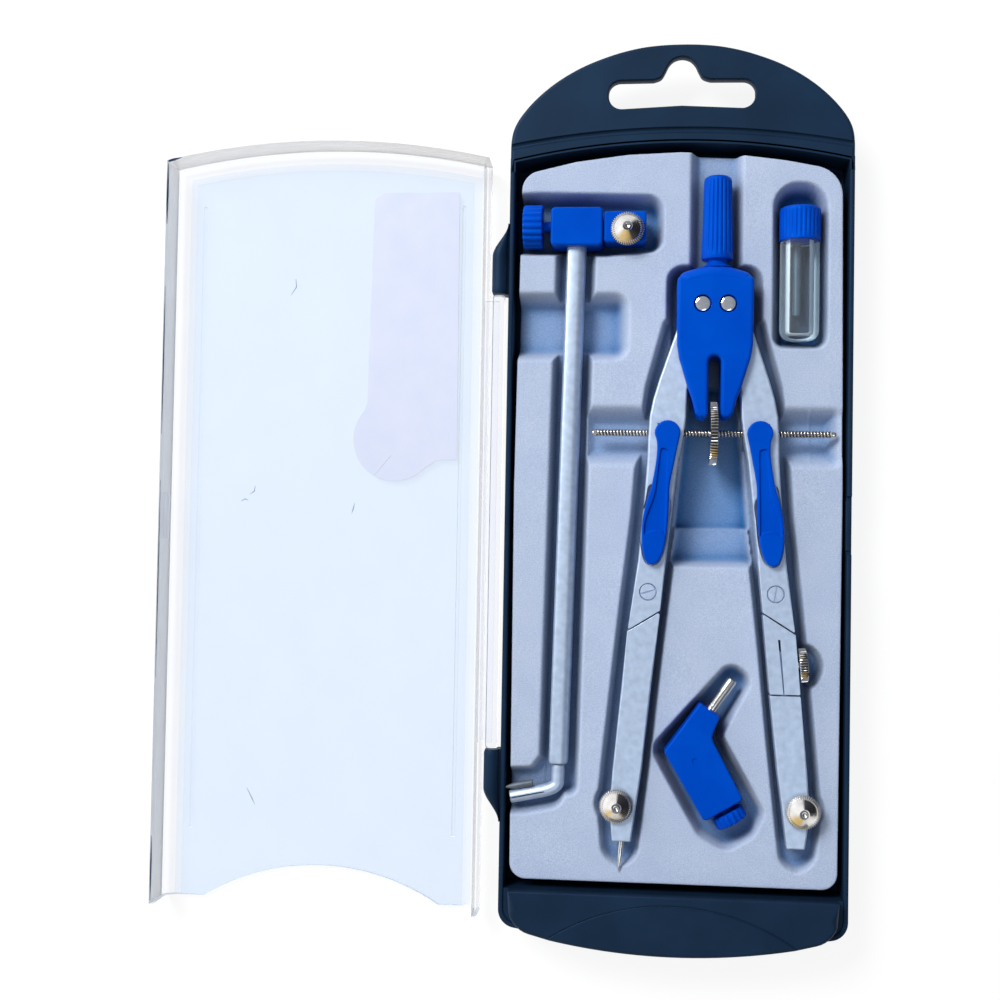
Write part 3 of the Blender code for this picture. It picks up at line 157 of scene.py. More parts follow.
def flock_material():
    """Grey-blue flock: short upright fibres, with painted shade that makes it darker and bluer down in the
    pockets and in the gaps beside the pieces lying in them.
    """
    look = Look("grey_flock", roughness=0.95, sheen_weight=0.25, sheen_roughness=0.5)
    look.shader.inputs["Sheen Tint"].default_value = (0.85, 0.92, 1.0, 1.0)
    tone = look.ramp(look.noise(0.28, 3), 0.3, 0.72, (0.34, 0.41, 0.56), (0.50, 0.585, 0.76))
    patches = look.ramp(look.noise(11, 4), 0.35, 0.65, (0.92, 0.945, 0.97), (1, 1, 1))
    # Painted shade: the hollow attribute darkens and blues the flock down in the pockets.
    hollow = look.node("Attribute")
    hollow.attribute_name = "hollow"
    depth = look.ramp(hollow.outputs["Fac"], 0.0, 0.68, (1.0, 1.0, 1.0), (0.0, 0.29, 0.62))
    # Painted shade: ambient occlusion darkens the flock in the narrow gaps beside the pieces.
    shade_occlusion = look.node("AmbientOcclusion", distance=0.005)
    shade_occlusion.samples = 8
    gap = look.ramp(shade_occlusion.outputs["AO"], 0.12, 0.78, (0.06, 0.12, 0.20), (1.0, 1.0, 1.0))
    look.set("Base Color", look.times(look.times(look.times(tone, patches), depth), gap))
    look.bump(look.noise(0.22, 2), 0.09)
    look.bump(look.noise(0.9, 3), 0.08)
    return look.material


def clear_material(name, tint, gloss_rough=0.03, gloss=1.42):
    """Thin clear plastic: tinted light passes straight through, with a gloss that grows at grazing angles."""
    look = Look(name, roughness=gloss_rough, ior=1.49, base_color=(*tint, 1))
    waves = look.noise(100 / 9, 2.0, (1, 7 / 9, 1))
    look.bump(waves, 0.06)
    colour = look.ramp(waves, 0.0, 1.0, tint, [min(1, t * 1.02) for t in tint])
    through = look.node("BsdfTransparent", color=colour)
    mix = look.node("MixShader", fac=look.node("Fresnel", ior=gloss).outputs[0])
    for slot, source in ((1, through), (2, look.shader)):
        look.tree.links.new(source.outputs[0], mix.inputs[slot])
    look.tree.links.new(mix.outputs[0], look.tree.nodes["Material Output"].inputs["Surface"])
    return look.material


def paper_material():
    look = Look("pale_paper", roughness=0.6)
    look.set("Base Color", look.ramp(look.noise(6, 5), 0.3, 0.7, (0.555, 0.61, 0.775), (0.595, 0.64, 0.79)))
    look.bump(look.noise(0.3, 3), 0.01)
    return look.material


SILVER = ((0.42, 0.52, 0.68), (0.54, 0.66, 0.85))
STEEL = ((0.67, 0.66, 0.635), (0.86, 0.85, 0.825))
LOOKS = {
    "black_plastic": plastic("black_plastic", (0.005, 0.015, 0.036), (0.007, 0.021, 0.050), 0.5, 0.012, 0.22,
                             (0.35, 0.62, 1.0)),
    "blue_plastic": plastic("blue_plastic", (0.0, 0.050, 0.45), (0.0, 0.066, 0.52), 0.4, 0.008, 0.3,
                            (0.0, 0.35, 0.9)),
    "satin_silver": metal("satin_silver", *SILVER, 0.42, 0.55, 0.012, 0.3),
    "bright_steel": metal("bright_steel", *STEEL, 0.11, 1.0, 0.002, 0.4),
    "dark_steel": metal("dark_steel", (0.20, 0.20, 0.20), (0.40, 0.39, 0.37), 0.28, 1.0),
    # groove: painted shade, a dark metal laid in the valleys of knurls and threads and in the cone nuts'
    # crowns.
    "groove": metal("groove", (0.06, 0.05, 0.04), (0.13, 0.11, 0.09), 0.5, 0.85),
    "graphite": metal("graphite", (0.07, 0.09, 0.12), (0.12, 0.15, 0.19), 0.45, 0.2),
    "grey_flock": flock_material(),
    "pale_paper": paper_material(),
    "clear_plastic": clear_material("clear_plastic", (0.88, 0.925, 0.985)),
}


def dress_frame():
    slots = {p["node"]: p["material_slot"] for p in frame["record"]["subparts"]}
    for name, obj in frame["nodes"].items():
        obj.data.materials.clear()
        obj.data.materials.append(LOOKS[slots[name]])
        obj.data.shade_smooth()
        obj.data.set_sharp_from_angle(angle=math.radians(32))


# --- mesh helpers -------------------------------------------------------------------------------
def v2(points):
    return [Vector(p) for p in points]


def box(x0, y0, x1, y1):
    return v2([(x0, y0), (x1, y0), (x1, y1), (x0, y1)])


def box_about(x, y, half_x, half_y):
    return box(x - half_x, y - half_y, x + half_x, y + half_y)


def unit(t):
    """A number kept between 0 and 1."""
    return min(1.0, max(0.0, t))


def arc(centre, radius, start, end, steps):
    """Points on an arc; angles in degrees."""
    turn = [math.radians(start + (end - start) * k / steps) for k in range(steps + 1)]
    return [Vector((centre[0] + radius * math.cos(a), centre[1] + radius * math.sin(a))) for a in turn]


def bow(half, tip, radius, steps):
    """A shallow arch from x = half to x = -half with its top at (0, tip)."""
    across = [half * (1 - 2 * k / steps) for k in range(steps + 1)]
    return [Vector((x, tip - radius + math.sqrt(radius * radius - x * x))) for x in across]


def rounded(corners, steps=6):
    """A closed outline from corners (x, y, radius)."""
    out = []
    for i, (x, y, radius) in enumerate(corners):
        p = Vector((x, y))
        back = (Vector(corners[i - 1][:2]) - p).normalized()
        ahead = (Vector(corners[(i + 1) % len(corners)][:2]) - p).normalized()
        half = back.angle(ahead) / 2
        if radius <= 0 or half > 1.55:
            out.append(p)
            continue
        centre = p + (back + ahead).normalized() * radius / math.sin(half)
        first = p + back * radius / math.tan(half) - centre
        last = p + ahead * radius / math.tan(half) - centre
        sweep = math.atan2(first.x * last.y - first.y * last.x, first.dot(last))
        out += [centre + Matrix.Rotation(sweep * k / steps, 2) @ first for k in range(steps + 1)]
    return out


def area_of(points):
    return sum(a.x * b.y - b.x * a.y for a, b in zip(points, points[1:] + points[:1])) / 2


def upright(points):
    """The same outline, counter-clockwise."""
    return points if area_of(points) > 0 else points[::-1]


def inset(points, depths):
    """A counter-clockwise outline moved inward, by one depth or by one for each point."""
    n = len(points)
    if not hasattr(depths, "__len__"):
        depths = [depths] * n
    edges = [(points[(i + 1) % n] - p).normalized() for i, p in enumerate(points)]
    out = []
    for i, p in enumerate(points):
        u, w = edges[i - 1], edges[i]
        side = Vector((-u.y - w.y, u.x + w.x))
        side = side.normalized() if side.length > 1e-6 else Vector((-w.y, w.x))
        out.append(p + side * depths[i] / max(side.dot(Vector((-w.y, w.x))), 0.5))
    for _ in range(6):
        if not meet_where_crossed(out, edges):
            break
    return out


def meet_where_crossed(out, edges):
    """Brings each run of turned-back edges to the point where its neighbours meet; says if any was found."""
    n = len(out)
    ahead = [(out[(i + 1) % n] - out[i]).dot(edges[i]) for i in range(n)]
    if min(ahead) > -1e-7:
        return False
    for i in range(n):
        if ahead[i] > 1e-7 or ahead[i - 1] <= 1e-7:
            continue
        j = i
        while ahead[j % n] <= 1e-7:
            j += 1
        first, last = edges[i - 1], edges[j % n]
        turn = first.x * last.y - first.y * last.x
        gap = out[j % n] - out[i]
        spot = (out[i] + out[j % n]) / 2
        if abs(turn) > 0.02:
            spot = out[i] + first * (gap.x * last.y - gap.y * last.x) / turn
        for k in range(i, j + 1):
            out[k % n] = spot.copy()
    return True


def loft(rings):
    """A skin over rings of equally many points (x, y, z), closed at both ends."""
    bm = bmesh.new()
    rows = [[bm.verts.new(p) for p in ring] for ring in rings]
    for lower, upper in zip(rows, rows[1:]):
        for k in range(len(lower)):
            j = (k + 1) % len(lower)
            bm.faces.new((lower[k], lower[j], upper[j], upper[k]))
    bm.faces.new(rows[0][::-1])
    bm.faces.new(rows[-1])
    return bm


def pad(outline, low, high, top=0.4, bottom=0.3, steps=4):
    """A slab with rounded edges; top may be one radius for each point of a counter-clockwise outline."""
    if area_of(outline) < 0:
        outline = outline[::-1]
        top = top[::-1] if hasattr(top, "__len__") else top
    tops = list(top) if hasattr(top, "__len__") else [top] * len(outline)
    rings = []
    low_steps = steps if bottom > 0 else 0
    high_steps = steps if max(tops) > 0 else 0
    for k in range(low_steps + 1):
        a = math.pi / 2 * k / max(low_steps, 1)
        around = inset(outline, bottom * (1 - math.sin(a)))
        rings.append([(*p, low + bottom * (1 - math.cos(a))) for p in around])
    for k in range(high_steps + 1):
        a = math.pi / 2 * k / max(high_steps, 1)
        around = inset(outline, [r * (1 - math.cos(a)) for r in tops])
        rings.append([(*p, high - r * (1 - math.sin(a))) for p, r in zip(around, tops)])
    return loft(rings)


def lathe(profile, steps=48, shape=None):
    """A profile of (radius, height) spun about z; shape(angle, radius, height) may change the radius."""
    rings = []
    for r, z in profile:
        ring = []
        for k in range(steps):
            a = 2 * math.pi * k / steps
            rr = shape(a, r, z) if shape else r
            ring.append((rr * math.cos(a), rr * math.sin(a), z))
        rings.append(ring)
    return loft(rings)


def sweep(path, radius, sides=12):
    """A round bar along a path of points."""
    path = [Vector(p) for p in path]
    rings = []
    up = Vector((0, 0, 1))
    for i, p in enumerate(path):
        ahead = path[min(i + 1, len(path) - 1)] - path[max(i - 1, 0)]
        side = ahead.cross(up).normalized()
        top = side.cross(ahead).normalized()
        ring = []
        for k in range(sides):
            a = 2 * math.pi * k / sides
            r = radius[i] if hasattr(radius, "__len__") else radius
            ring.append(p + side * math.cos(a) * r + top * math.sin(a) * r)
        rings.append(ring)
    return loft(rings)


def pointing(origin, direction):
    """The placing that carries z to a direction and the origin to a point."""
    return Matrix.Translation(origin) @ Vector(direction).to_track_quat("Z", "Y").to_matrix().to_4x4()


def settle(bm):
    """Welds a closed mesh, turns its faces outward and brings it to its place in metres."""
    bmesh.ops.remove_doubles(bm, verts=bm.verts, dist=0.0005)
    bmesh.ops.recalc_face_normals(bm, faces=bm.faces)
    if bm.calc_volume(signed=True) < 0:
        bmesh.ops.reverse_faces(bm, faces=bm.faces)
    bmesh.ops.translate(bm, vec=SHIFT, verts=bm.verts)
    bmesh.ops.scale(bm, vec=(MM, MM, MM), verts=bm.verts)


def make(name, bm, look, body, replaced=(), place=None, sharp=38, flat_caps=True):
    """A finished piece from a mesh in case millimetres."""
    if place is not None:
        bm.transform(place)
    settle(bm)
    mesh = bpy.data.meshes.new(name)
    bm.to_mesh(mesh)
    bm.free()
    mesh.shade_smooth()
    mesh.set_sharp_from_angle(angle=math.radians(sharp))
    obj = bpy.data.objects.new(name, mesh)
    bpy.context.scene.collection.objects.link(obj)
    mesh.materials.append(LOOKS[look] if isinstance(look, str) else look)
    if flat_caps:
        weigh = obj.modifiers.new("flat_caps", "WEIGHTED_NORMAL")
        weigh.keep_sharp = True
    if body:
        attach(obj, body)
    if replaced:
        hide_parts(*replaced)
    return obj


def carve(obj, *cutters):
    """Cuts meshes in case millimetres out of a piece, and applies the cuts."""
    for k, bm in enumerate(cutters):
        settle(bm)
        mesh = bpy.data.meshes.new(f"{obj.name}_cut_{k}")
        bm.to_mesh(mesh)
        bm.free()
        mesh.shade_smooth()
        tool = bpy.data.objects.new(mesh.name, mesh)
        bpy.context.scene.collection.objects.link(tool)
        step = obj.modifiers.new("cut", "BOOLEAN")
        step.operation = "DIFFERENCE"
        step.solver = "EXACT"
        step.object = tool
        while obj.modifiers[0] != step:
            obj.modifiers.move(len(obj.modifiers) - 1, 0)
        view = bpy.context.evaluated_depsgraph_get()
        for m in obj.modifiers:
            m.show_viewport = m == step
        view.update()
        result = bpy.data.meshes.new_from_object(obj.evaluated_get(view))
        obj.modifiers.remove(step)
        for m in obj.modifiers:
            m.show_viewport = True
        old = obj.data
        obj.data = result
        bpy.data.objects.remove(tool)
        bpy.data.meshes.remove(old)
    obj.data.set_sharp_from_angle(angle=math.radians(38))
    return obj


def placed(bm, matrix):
    bm.transform(matrix)
    return bm


def turned(profile, spot, aim, steps=48, shape=None):
    """A profile spun about the axis through a spot."""
    return placed(lathe(profile, steps, shape), pointing(spot, aim))


def bore(radius, low, high, spot, aim, steps=24):
    """A round cutter through a spot."""
    return turned([(radius, low), (radius, high)], spot, aim, steps)


def ribbed(count, depth, power, above=0.0, run=None):
    """Rounded ribs on radii above a limit, fading in and out along run (start, rise, end, fall) if given."""
    def shape(angle, r, z):
        if r <= above:
            return r
        fade = 1.0
        if run:
            start, rise, end, fall = run
            fade = unit((z - start) / rise) * unit((end - z) / fall)
        return r - depth * fade * (0.5 + 0.5 * math.cos(count * angle)) ** power

    return shape


def mirrored(points, side):
    return [Vector((side * p[0], p[1])) for p in points]


def on_compass(points):
    return [Vector((AXIS_X + p[0], PIVOT_Y + p[1])) for p in points]


def at_compass(u, v, w=0.0):
    return Vector((AXIS_X + u, PIVOT_Y + v, MID + w))


# --- insert -------------------------------------------------------------------------------------
def signed_distance(gx, gy, polygon):
    """Distance to a polygon on a grid, negative inside."""
    best = np.full(gx.shape, 1e9)
    inside = np.zeros(gx.shape, bool)
    n = len(polygon)
    for i in range(n):
        ax, ay = polygon[i]
        bx, by = polygon[(i + 1) % n]
        ex, ey = bx - ax, by - ay
        length = ex * ex + ey * ey
        if length < 1e-12:
            continue
        t = np.clip(((gx - ax) * ex + (gy - ay) * ey) / length, 0, 1)
        best = np.minimum(best, (gx - ax - t * ex) ** 2 + (gy - ay - t * ey) ** 2)
        if ay != by:
            crosses = ((ay > gy) != (by > gy)) & (gx < (bx - ax) * (gy - ay) / (by - ay) + ax)
            inside ^= crosses
    return np.where(inside, -1, 1) * np.sqrt(best)


def box_corners(x0, y0, x1, y1, r):
    return [(x1, y0, r), (x1, y1, r), (x0, y1, r), (x0, y0, r)]


def ring_corners(x, y, r):
    return [(p.x, p.y, 0) for p in arc((x, y), r, 0, 345, 23)]


def leg_pocket(side):
    outer = [(11.8, -3.0, 2.0), (16.3, -20.0, 6.0), (18.3, -36.0, 6.0), (19.4, -52.0, 8), (21.9, -74.0, 0),
             (23.9, -94.0, 0), (25.9, -114.0, 3), (26.6, -123.0, 5.0), (25.4, -137.6, 5.0)]
    inner = [(17.8, -137.6, 4.5), (14.2, -106.0, 0), (12.0, -84.0, 0), (9.2, -60.0, 0), (4.0, -24.0, 3.0),
             (2.0, -3.0, 0)]
    return [(AXIS_X + side * u, PIVOT_Y + v, r) for u, v, r in outer + inner]


def pocket_list():
    """Corners at the plateau, floor height, width of the slope, and how far it rounds on to the plateau."""
    far = 46
    return [
        (box_corners(AXIS_X - 11.2, 24, AXIS_X + 11.2, 64.6, 3.4), 6.3, 1.3, 0.9),
        (box_corners(AXIS_X - 5.7, 60, AXIS_X + 6.2, 99, 1.5), 7.7, 1.8, 0.9),
        (box_corners(-24.4, 15.4, 40.0, 29.8, 2.2), 6.8, 4.2, 0.8),
        ([(AXIS_X + 9.6, -0.6, 1.2), (AXIS_X + 6.2, 36, 0), (AXIS_X - 6.2, 36, 0), (AXIS_X - 9.6, -0.6, 1.2)],
         2.9, 1.2, 0.6),
        ([(AXIS_X + 10.8, -9.2, 1.2), (AXIS_X + 8.8, 4, 0), (AXIS_X - 8.8, 4, 0), (AXIS_X - 10.8, -9.2, 1.2)],
         4.9, 2.0, 0.7),
        ([(-4.6, 69.2, 3.0), (-4.6, 82.2, 3.5), (-34, 82.9, 0), (-far, 82.6, 0), (-far, 68.5, 0),
          (-32, 68.3, 0), (-18, 68.0, 0)], 4.6, 1.6, 1.0),
        ([(-23.7, -66, 2.0), (-21.1, 70, 0), (-30.2, 70, 0), (-32.6, -66, 0)], 7.5, 1.2, 0.8),
        ([(-24.3, -62.0, 3.0), (-24.0, -57, 0), (-32.6, -57, 1.0), (-34.6, -59.9, 1.5), (-far, -60.6, 0),
          (-far, -71.4, 0), (-36, -70.8, 0), (-28.2, -69.2, 4.0)], 7.7, 1.4, 0.8),
        (box_corners(-far, 41.8, -12.7, 57.9, 3.2), 5.4, 3.2, 1.0),
        ([(35.3, 45.5, 2.0), (35.3, 84.9, 5.2), (23.8, 84.9, 5.2), (23.8, 45.5, 2.0)], 3.9, 1.5, 1.3),
        ([(19.4, -74.6, 3.5), (22.0, -69.2, 3.0), (11.4, -50.6, 2.5), (18.8, -36.6, 2.8), (13.6, -32.8, 3.0),
          (-5.2, -54.2, 3.0), (6.6, -74.8, 3.5), (13.2, -78.5, 3.5)], 6.0, 1.4, 0.9),
        (ring_corners(AXIS_X + 21.6, PIVOT_Y - 88.2, 5.4), 7.0, 1.2, 0.8),
        (ring_corners(AXIS_X - 22.5, PIVOT_Y - 122.8, 5.0), 7.4, 1.2, 0.7),
        (ring_corners(AXIS_X + 22.5, PIVOT_Y - 122.8, 5.0), 7.4, 1.2, 0.7),
        (leg_pocket(-1), 7.4, 1.0, 0.8),
        (leg_pocket(1), 7.4, 1.0, 0.8),
    ]


def smooth(t):
    t = np.clip(t, 0, 1)
    return t * t * (3 - 2 * t)


def insert_outline():
    half = 40.2
    return rounded([(half - 0.3, -87.3, 4.0), (half + 0.15, 10, 0), (half - 0.5, 88.6, 7.6), (26, 91.3, 0),
                    (13, 93.0, 0), (0, 93.55, 0), (-13, 93.0, 0), (-26, 91.3, 0), (-half + 0.7, 88.1, 5.0),
                    (-half - 0.15, 10, 0), (-half + 0.3, -87.3, 4.0)], 8)


def blurred(grid, reach):
    """A grid smoothed by a bell of the given width in cells."""
    span = int(reach * 2.5)
    bell = np.exp(-0.5 * (np.arange(-span, span + 1) / reach) ** 2)
    bell /= bell.sum()
    for axis in (0, 1):
        edge = [(span, span) if k == axis else (0, 0) for k in (0, 1)]
        grid = np.apply_along_axis(np.convolve, axis, np.pad(grid, edge, "edge"), bell, "valid")
    return grid


def insert_heights(gx, gy):
    """The sheet's height and its distance to the outline, with a fold and gentle waves."""
    z = np.full(gx.shape, PLATEAU)
    for corners, floor, width, over in pocket_list():
        reach = signed_distance(gx, gy, [tuple(p) for p in rounded(corners)])
        z = np.minimum(z, PLATEAU - (PLATEAU - floor) * smooth((over - reach) / (width + over)))
    edge = signed_distance(gx, gy, [tuple(p) for p in insert_outline()])
    fold = np.exp(-((gx - 32.4) / 0.3) ** 2) * smooth((gy - 13) / 2) * smooth((32 - gy) / 2)
    z += 0.35 * fold * smooth((PLATEAU - z) / 2)
    wave = np.sin(gx * 0.21 + 1.3) * np.sin(gy * 0.13 + 0.4) + 0.6 * np.sin(gx * 0.09 - gy * 0.07)
    z += 0.05 * wave * smooth((-edge - 1.5) / 3)
    return z, edge


def flocked_insert():
    """The formed sheet as a height field, turned down at its border."""
    step = 0.36
    gx, gy = np.meshgrid(np.arange(-41.1, 41.11, step), np.arange(-88.2, 94.5, step))
    z, edge = insert_heights(gx, gy)
    # Painted shade: hollow grows with depth below the plateau and with how sunken a spot is, and darkens and
    # blues the flock there.
    hollow = 0.05 * (PLATEAU - z) + 0.05 * np.maximum(0, blurred(z, 1.5 / step) - z)
    hollow = np.clip(hollow + 0.045 * np.maximum(0, blurred(z, 4.0 / step) - z), 0, 1)
    lip = -0.35
    slope_y, slope_x = np.gradient(edge, step)
    size = np.maximum(np.hypot(slope_x, slope_y), 0.2)
    slope_x, slope_y = slope_x / size, slope_y / size
    keep = edge < lip - 0.1 * step
    bm = bmesh.new()
    shade = bm.verts.layers.float.new("hollow")
    rows, columns = gx.shape
    made = {}
    spots = {}
    for j in range(rows):
        for i in range(columns):
            if keep[j, i]:
                vert = bm.verts.new((gx[j, i], gy[j, i], z[j, i]))
                vert[shade] = hollow[j, i]
                made[j, i] = vert
                spots[vert] = (j, i)
    for j in range(rows - 1):
        for i in range(columns - 1):
            ring = [made.get(k) for k in ((j, i), (j, i + 1), (j + 1, i + 1), (j + 1, i))]
            if None not in ring:
                bm.faces.new(ring)
    border = [e for e in bm.edges if len(e.link_faces) == 1]
    outward = {}
    for vert in {v for e in border for v in e.verts}:
        j, i = spots[vert]
        outward[vert] = slope_x[j, i], slope_y[j, i]
        vert.co.x += slope_x[j, i] * (lip - edge[j, i])
        vert.co.y += slope_y[j, i] * (lip - edge[j, i])
    turn_down(bm, border, outward, shade)
    make("insert", bm, "grey_flock", "tray", ("flocked_insert",), flat_caps=False, sharp=180)


def turn_down(bm, border, outward, shade):
    """A rounded lip and a wall down from the sheet's border; outward is the way out at each vertex."""
    chains = {}
    for vert, (out_x, out_y) in outward.items():
        chain = [vert]
        for out, down in ((0.12, 0.04), (0.22, 0.14), (0.31, 0.34), (0.35, 0.7), (0.45, 4.5), (0.75, 10.2)):
            low = max(vert.co.z - down, 1.7)
            chain.append(bm.verts.new((vert.co.x + out_x * out, vert.co.y + out_y * out, low)))
            # Painted shade: hollow grows down the turned wall, so the flock darkens there as in the pockets.
            chain[-1][shade] = min(1.0, vert[shade] + 0.12 * down)
        chains[vert] = chain
    for edge_line in border:
        face = edge_line.link_faces[0]
        a, b = edge_line.verts
        loop = next(one for one in face.loops if one.edge == edge_line)
        if loop.vert != a:
            a, b = b, a
        for upper, lower in zip(range(6), range(1, 7)):
            bm.faces.new((chains[b][upper], chains[a][upper], chains[a][lower], chains[b][lower]))


# --- tray ---------------------------------------------------------------------------------------
def tray_outline(by):
    """The tray seen from above without its tab, moved inward."""
    half, foot, corner = TRAY_HALF - by, FOOT_Y + by, 4.5 - by / 2
    edge = foot + FOOT_ARC - math.sqrt(FOOT_ARC ** 2 - (half - corner) ** 2)
    points = bow(half, HEAD_Y - by, HEAD_ARC, 24)
    points += arc((-half + corner, edge + corner), corner, 180, 264, 8)
    points += [Vector((-p.x, -p.y)) for p in bow(half - corner - 0.5, -foot, FOOT_ARC, 28)]
    return points + arc((half - corner, edge + corner), corner, 276, 360, 8)


def tray_walls():
    """One skin: outside, soft rim, inside and floor."""
    stations = [(1.6, 0), (0.5, 0.15), (0.12, 0.5), (0, 1.1), (0, RIM - 0.42), (0.06, RIM - 0.2),
                (0.2, RIM - 0.06), (0.42, RIM), (0.86, RIM), (1.08, RIM - 0.07), (1.22, RIM - 0.25),
                (1.3, RIM - 0.5), (1.32, 1.6), (1.6, 1.3), (2.2, 1.2)]
    rings = [[(*p, z) for p in tray_outline(by)] for by, z in stations]
    walls = make("tray_walls", loft(rings), "black_plastic", "tray", ("base_shell",))
    notch = pad(box(38, -6, 46, 8.4), RIM - 1.0, RIM + 2, 0.2, 0.4, 3)
    carve(walls, notch)
    make("catch", pad(box(41.05, -5, 42.3, 7.4), 4, RIM - 0.6, 0.3, 0.1), "black_plastic", "tray")


def tab_plate():
    right = [(42.5, 92.0), (42.45, 96.0), (42.0, 98.9), (41.0, 101.3), (39.4, 103.7), (37.0, 106.5),
             (34.0, 109.3), (30.7, 111.8), (27.2, 113.95), (23.5, 115.8), (19.4, 117.4), (15.0, 118.8),
             (10.0, 119.9), (5.0, 120.45)]
    edge = spline([*right, (0.0, 120.6), *[(-x, y) for x, y in right[::-1]]], 5, False)
    outline = v2([(42.5, 88.6)]) + edge
    outline.append(Vector((-42.5, 88.6)))
    tops = [0.05 if p.y < 90 else 0.9 for p in outline]
    plate = pad(outline, RIM - 3.6, RIM, tops, 0.7, 5)
    plate = make("tab_plate", plate, "black_plastic", "tray")
    hump = spline([(7.0, 111.4), (5.1, 112.1), (4.1, 113.6), (3.2, 115.4), (1.9, 116.7), (0.0, 117.2),
                   (-1.9, 116.7), (-3.2, 115.4), (-4.1, 113.6), (-5.1, 112.1), (-7.0, 111.4)], 4, False)
    ends = rounded([(18.1, 104.3, 3.2), (18.1, 111.3, 3.0), (7.0, 111.4, 0), (-7.0, 111.4, 0),
                    (-18.1, 111.3, 3.0), (-18.1, 104.3, 3.2), (0, 105.2, 0)], 8)
    first = next(i for i, p in enumerate(ends) if abs(p.x - 7.0) < 1e-6)
    hanger = upright(ends[:first] + hump + ends[first + 2:])
    flare = [(1.2, -1.2), (0.7, -0.2), (0.35, 0.25), (0.1, 0.75), (0, 1.3), (0, 2.5), (0.08, 3.1),
             (0.25, 3.45), (0.5, 3.7), (1.2, 4.8)]
    slot = loft([[(*p, RIM - 3.6 + z) for p in inset(hanger, -by)] for by, z in flare])
    inner = loft([[(*p, z) for p in [*bow(41.2, 95.7, HEAD_ARC, 24), Vector((-41.2, 80)), Vector((41.2, 80))]]
                  for z in (0, 20)])
    groove = sweep([(p.x, p.y, RIM + 0.1) for p in bow(44.5, 98.9, 225, 40)], 0.85, 16)
    carve(plate, inner, slot, groove)


def foot_deck():
    """The raised deck at the foot, with an arch engraved on it; the closed lid's walls pass beside it."""
    half, head = DECK_HALF, DECK_HEAD
    low = FOOT_Y + FOOT_ARC - math.sqrt(FOOT_ARC ** 2 - half ** 2)
    foot = [(p.x, p.y, 0) for p in tray_outline(0.0) if p.y < -90 and abs(p.x) < 32]
    outline = rounded([(half, head, 0), (-half, head, 0), (-half, low + 0.3, 7.0), *foot,
                       (half, low + 0.3, 7.0)], 8)
    tops = [0.35 if p.y > head - 0.1 else 1.9 if abs(p.x) > half - 0.1 else 1.0 for p in outline]
    deck = make("foot_deck", pad(outline, RIM - 0.3, DECK_TOP, tops, 0, 7), "black_plastic", "tray")
    front = [p for p in tray_outline(1.35) if p.y < -90] + v2([(41.15, head), (-41.15, head)])
    make("deck_front", pad(front, 1.0, RIM - 0.03, 0, 0), "black_plastic", "tray")
    carve(deck, sweep([(p.x, p.y, DECK_TOP) for p in bow(33.0, -91.6, 54, 60)], 0.26, 8))


def hinge_lugs():
    """Two half-round lugs that hold the lid's rod; each tapers into the wall at one end."""
    taper = 8.4
    for name, low, high, up in (("lug_top", 57.7, 75.6, True), ("lug_foot", -73.3, -55.5, False)):
        length = high - low
        rings = []
        for k in range(25):
            y = low + length * k / 24
            from_square = y - low if up else high - y
            wing = max(0.0, (from_square - (length - taper)) / taper)
            reach = 1 - wing * wing * (3 - 2 * wing)
            r = 1.85 * (0.86 + 0.14 * unit(from_square / 0.5) ** 0.5)
            out = HINGE_X * reach + (-42.7) * (1 - reach)
            turn = [math.radians(a) for a in range(-10, 181, 15)]
            roll = [(out + r * reach * math.cos(a), PARTING - 0.05 + r * (0.3 + 0.7 * reach) * math.sin(a))
                    for a in turn]
            profile = [(-41.4, RIM - 5.2 + 2.2 * (1 - reach)), (-41.4, RIM - 0.35), (-42.4, RIM - 0.42)]
            profile += roll + [(out - r * reach, PARTING - 2.2)]
            profile.append((-42.2 - 0.9 * reach, RIM - 4.6 + 2.0 * (1 - reach)))
            rings.append([(x, y, z) for x, z in profile])
        make(name, loft(rings), "black_plastic", "tray", sharp=50)


# --- lid ----------------------------------------------------------------------------------------
LID_X, LID_HALF, LID_WALL = -89.5, 41.6, 1.2


def opened(points):
    """A plan outline about the lid's middle, brought to where the open lid lies."""
    return [Vector((LID_X + p.x, p.y)) for p in points]


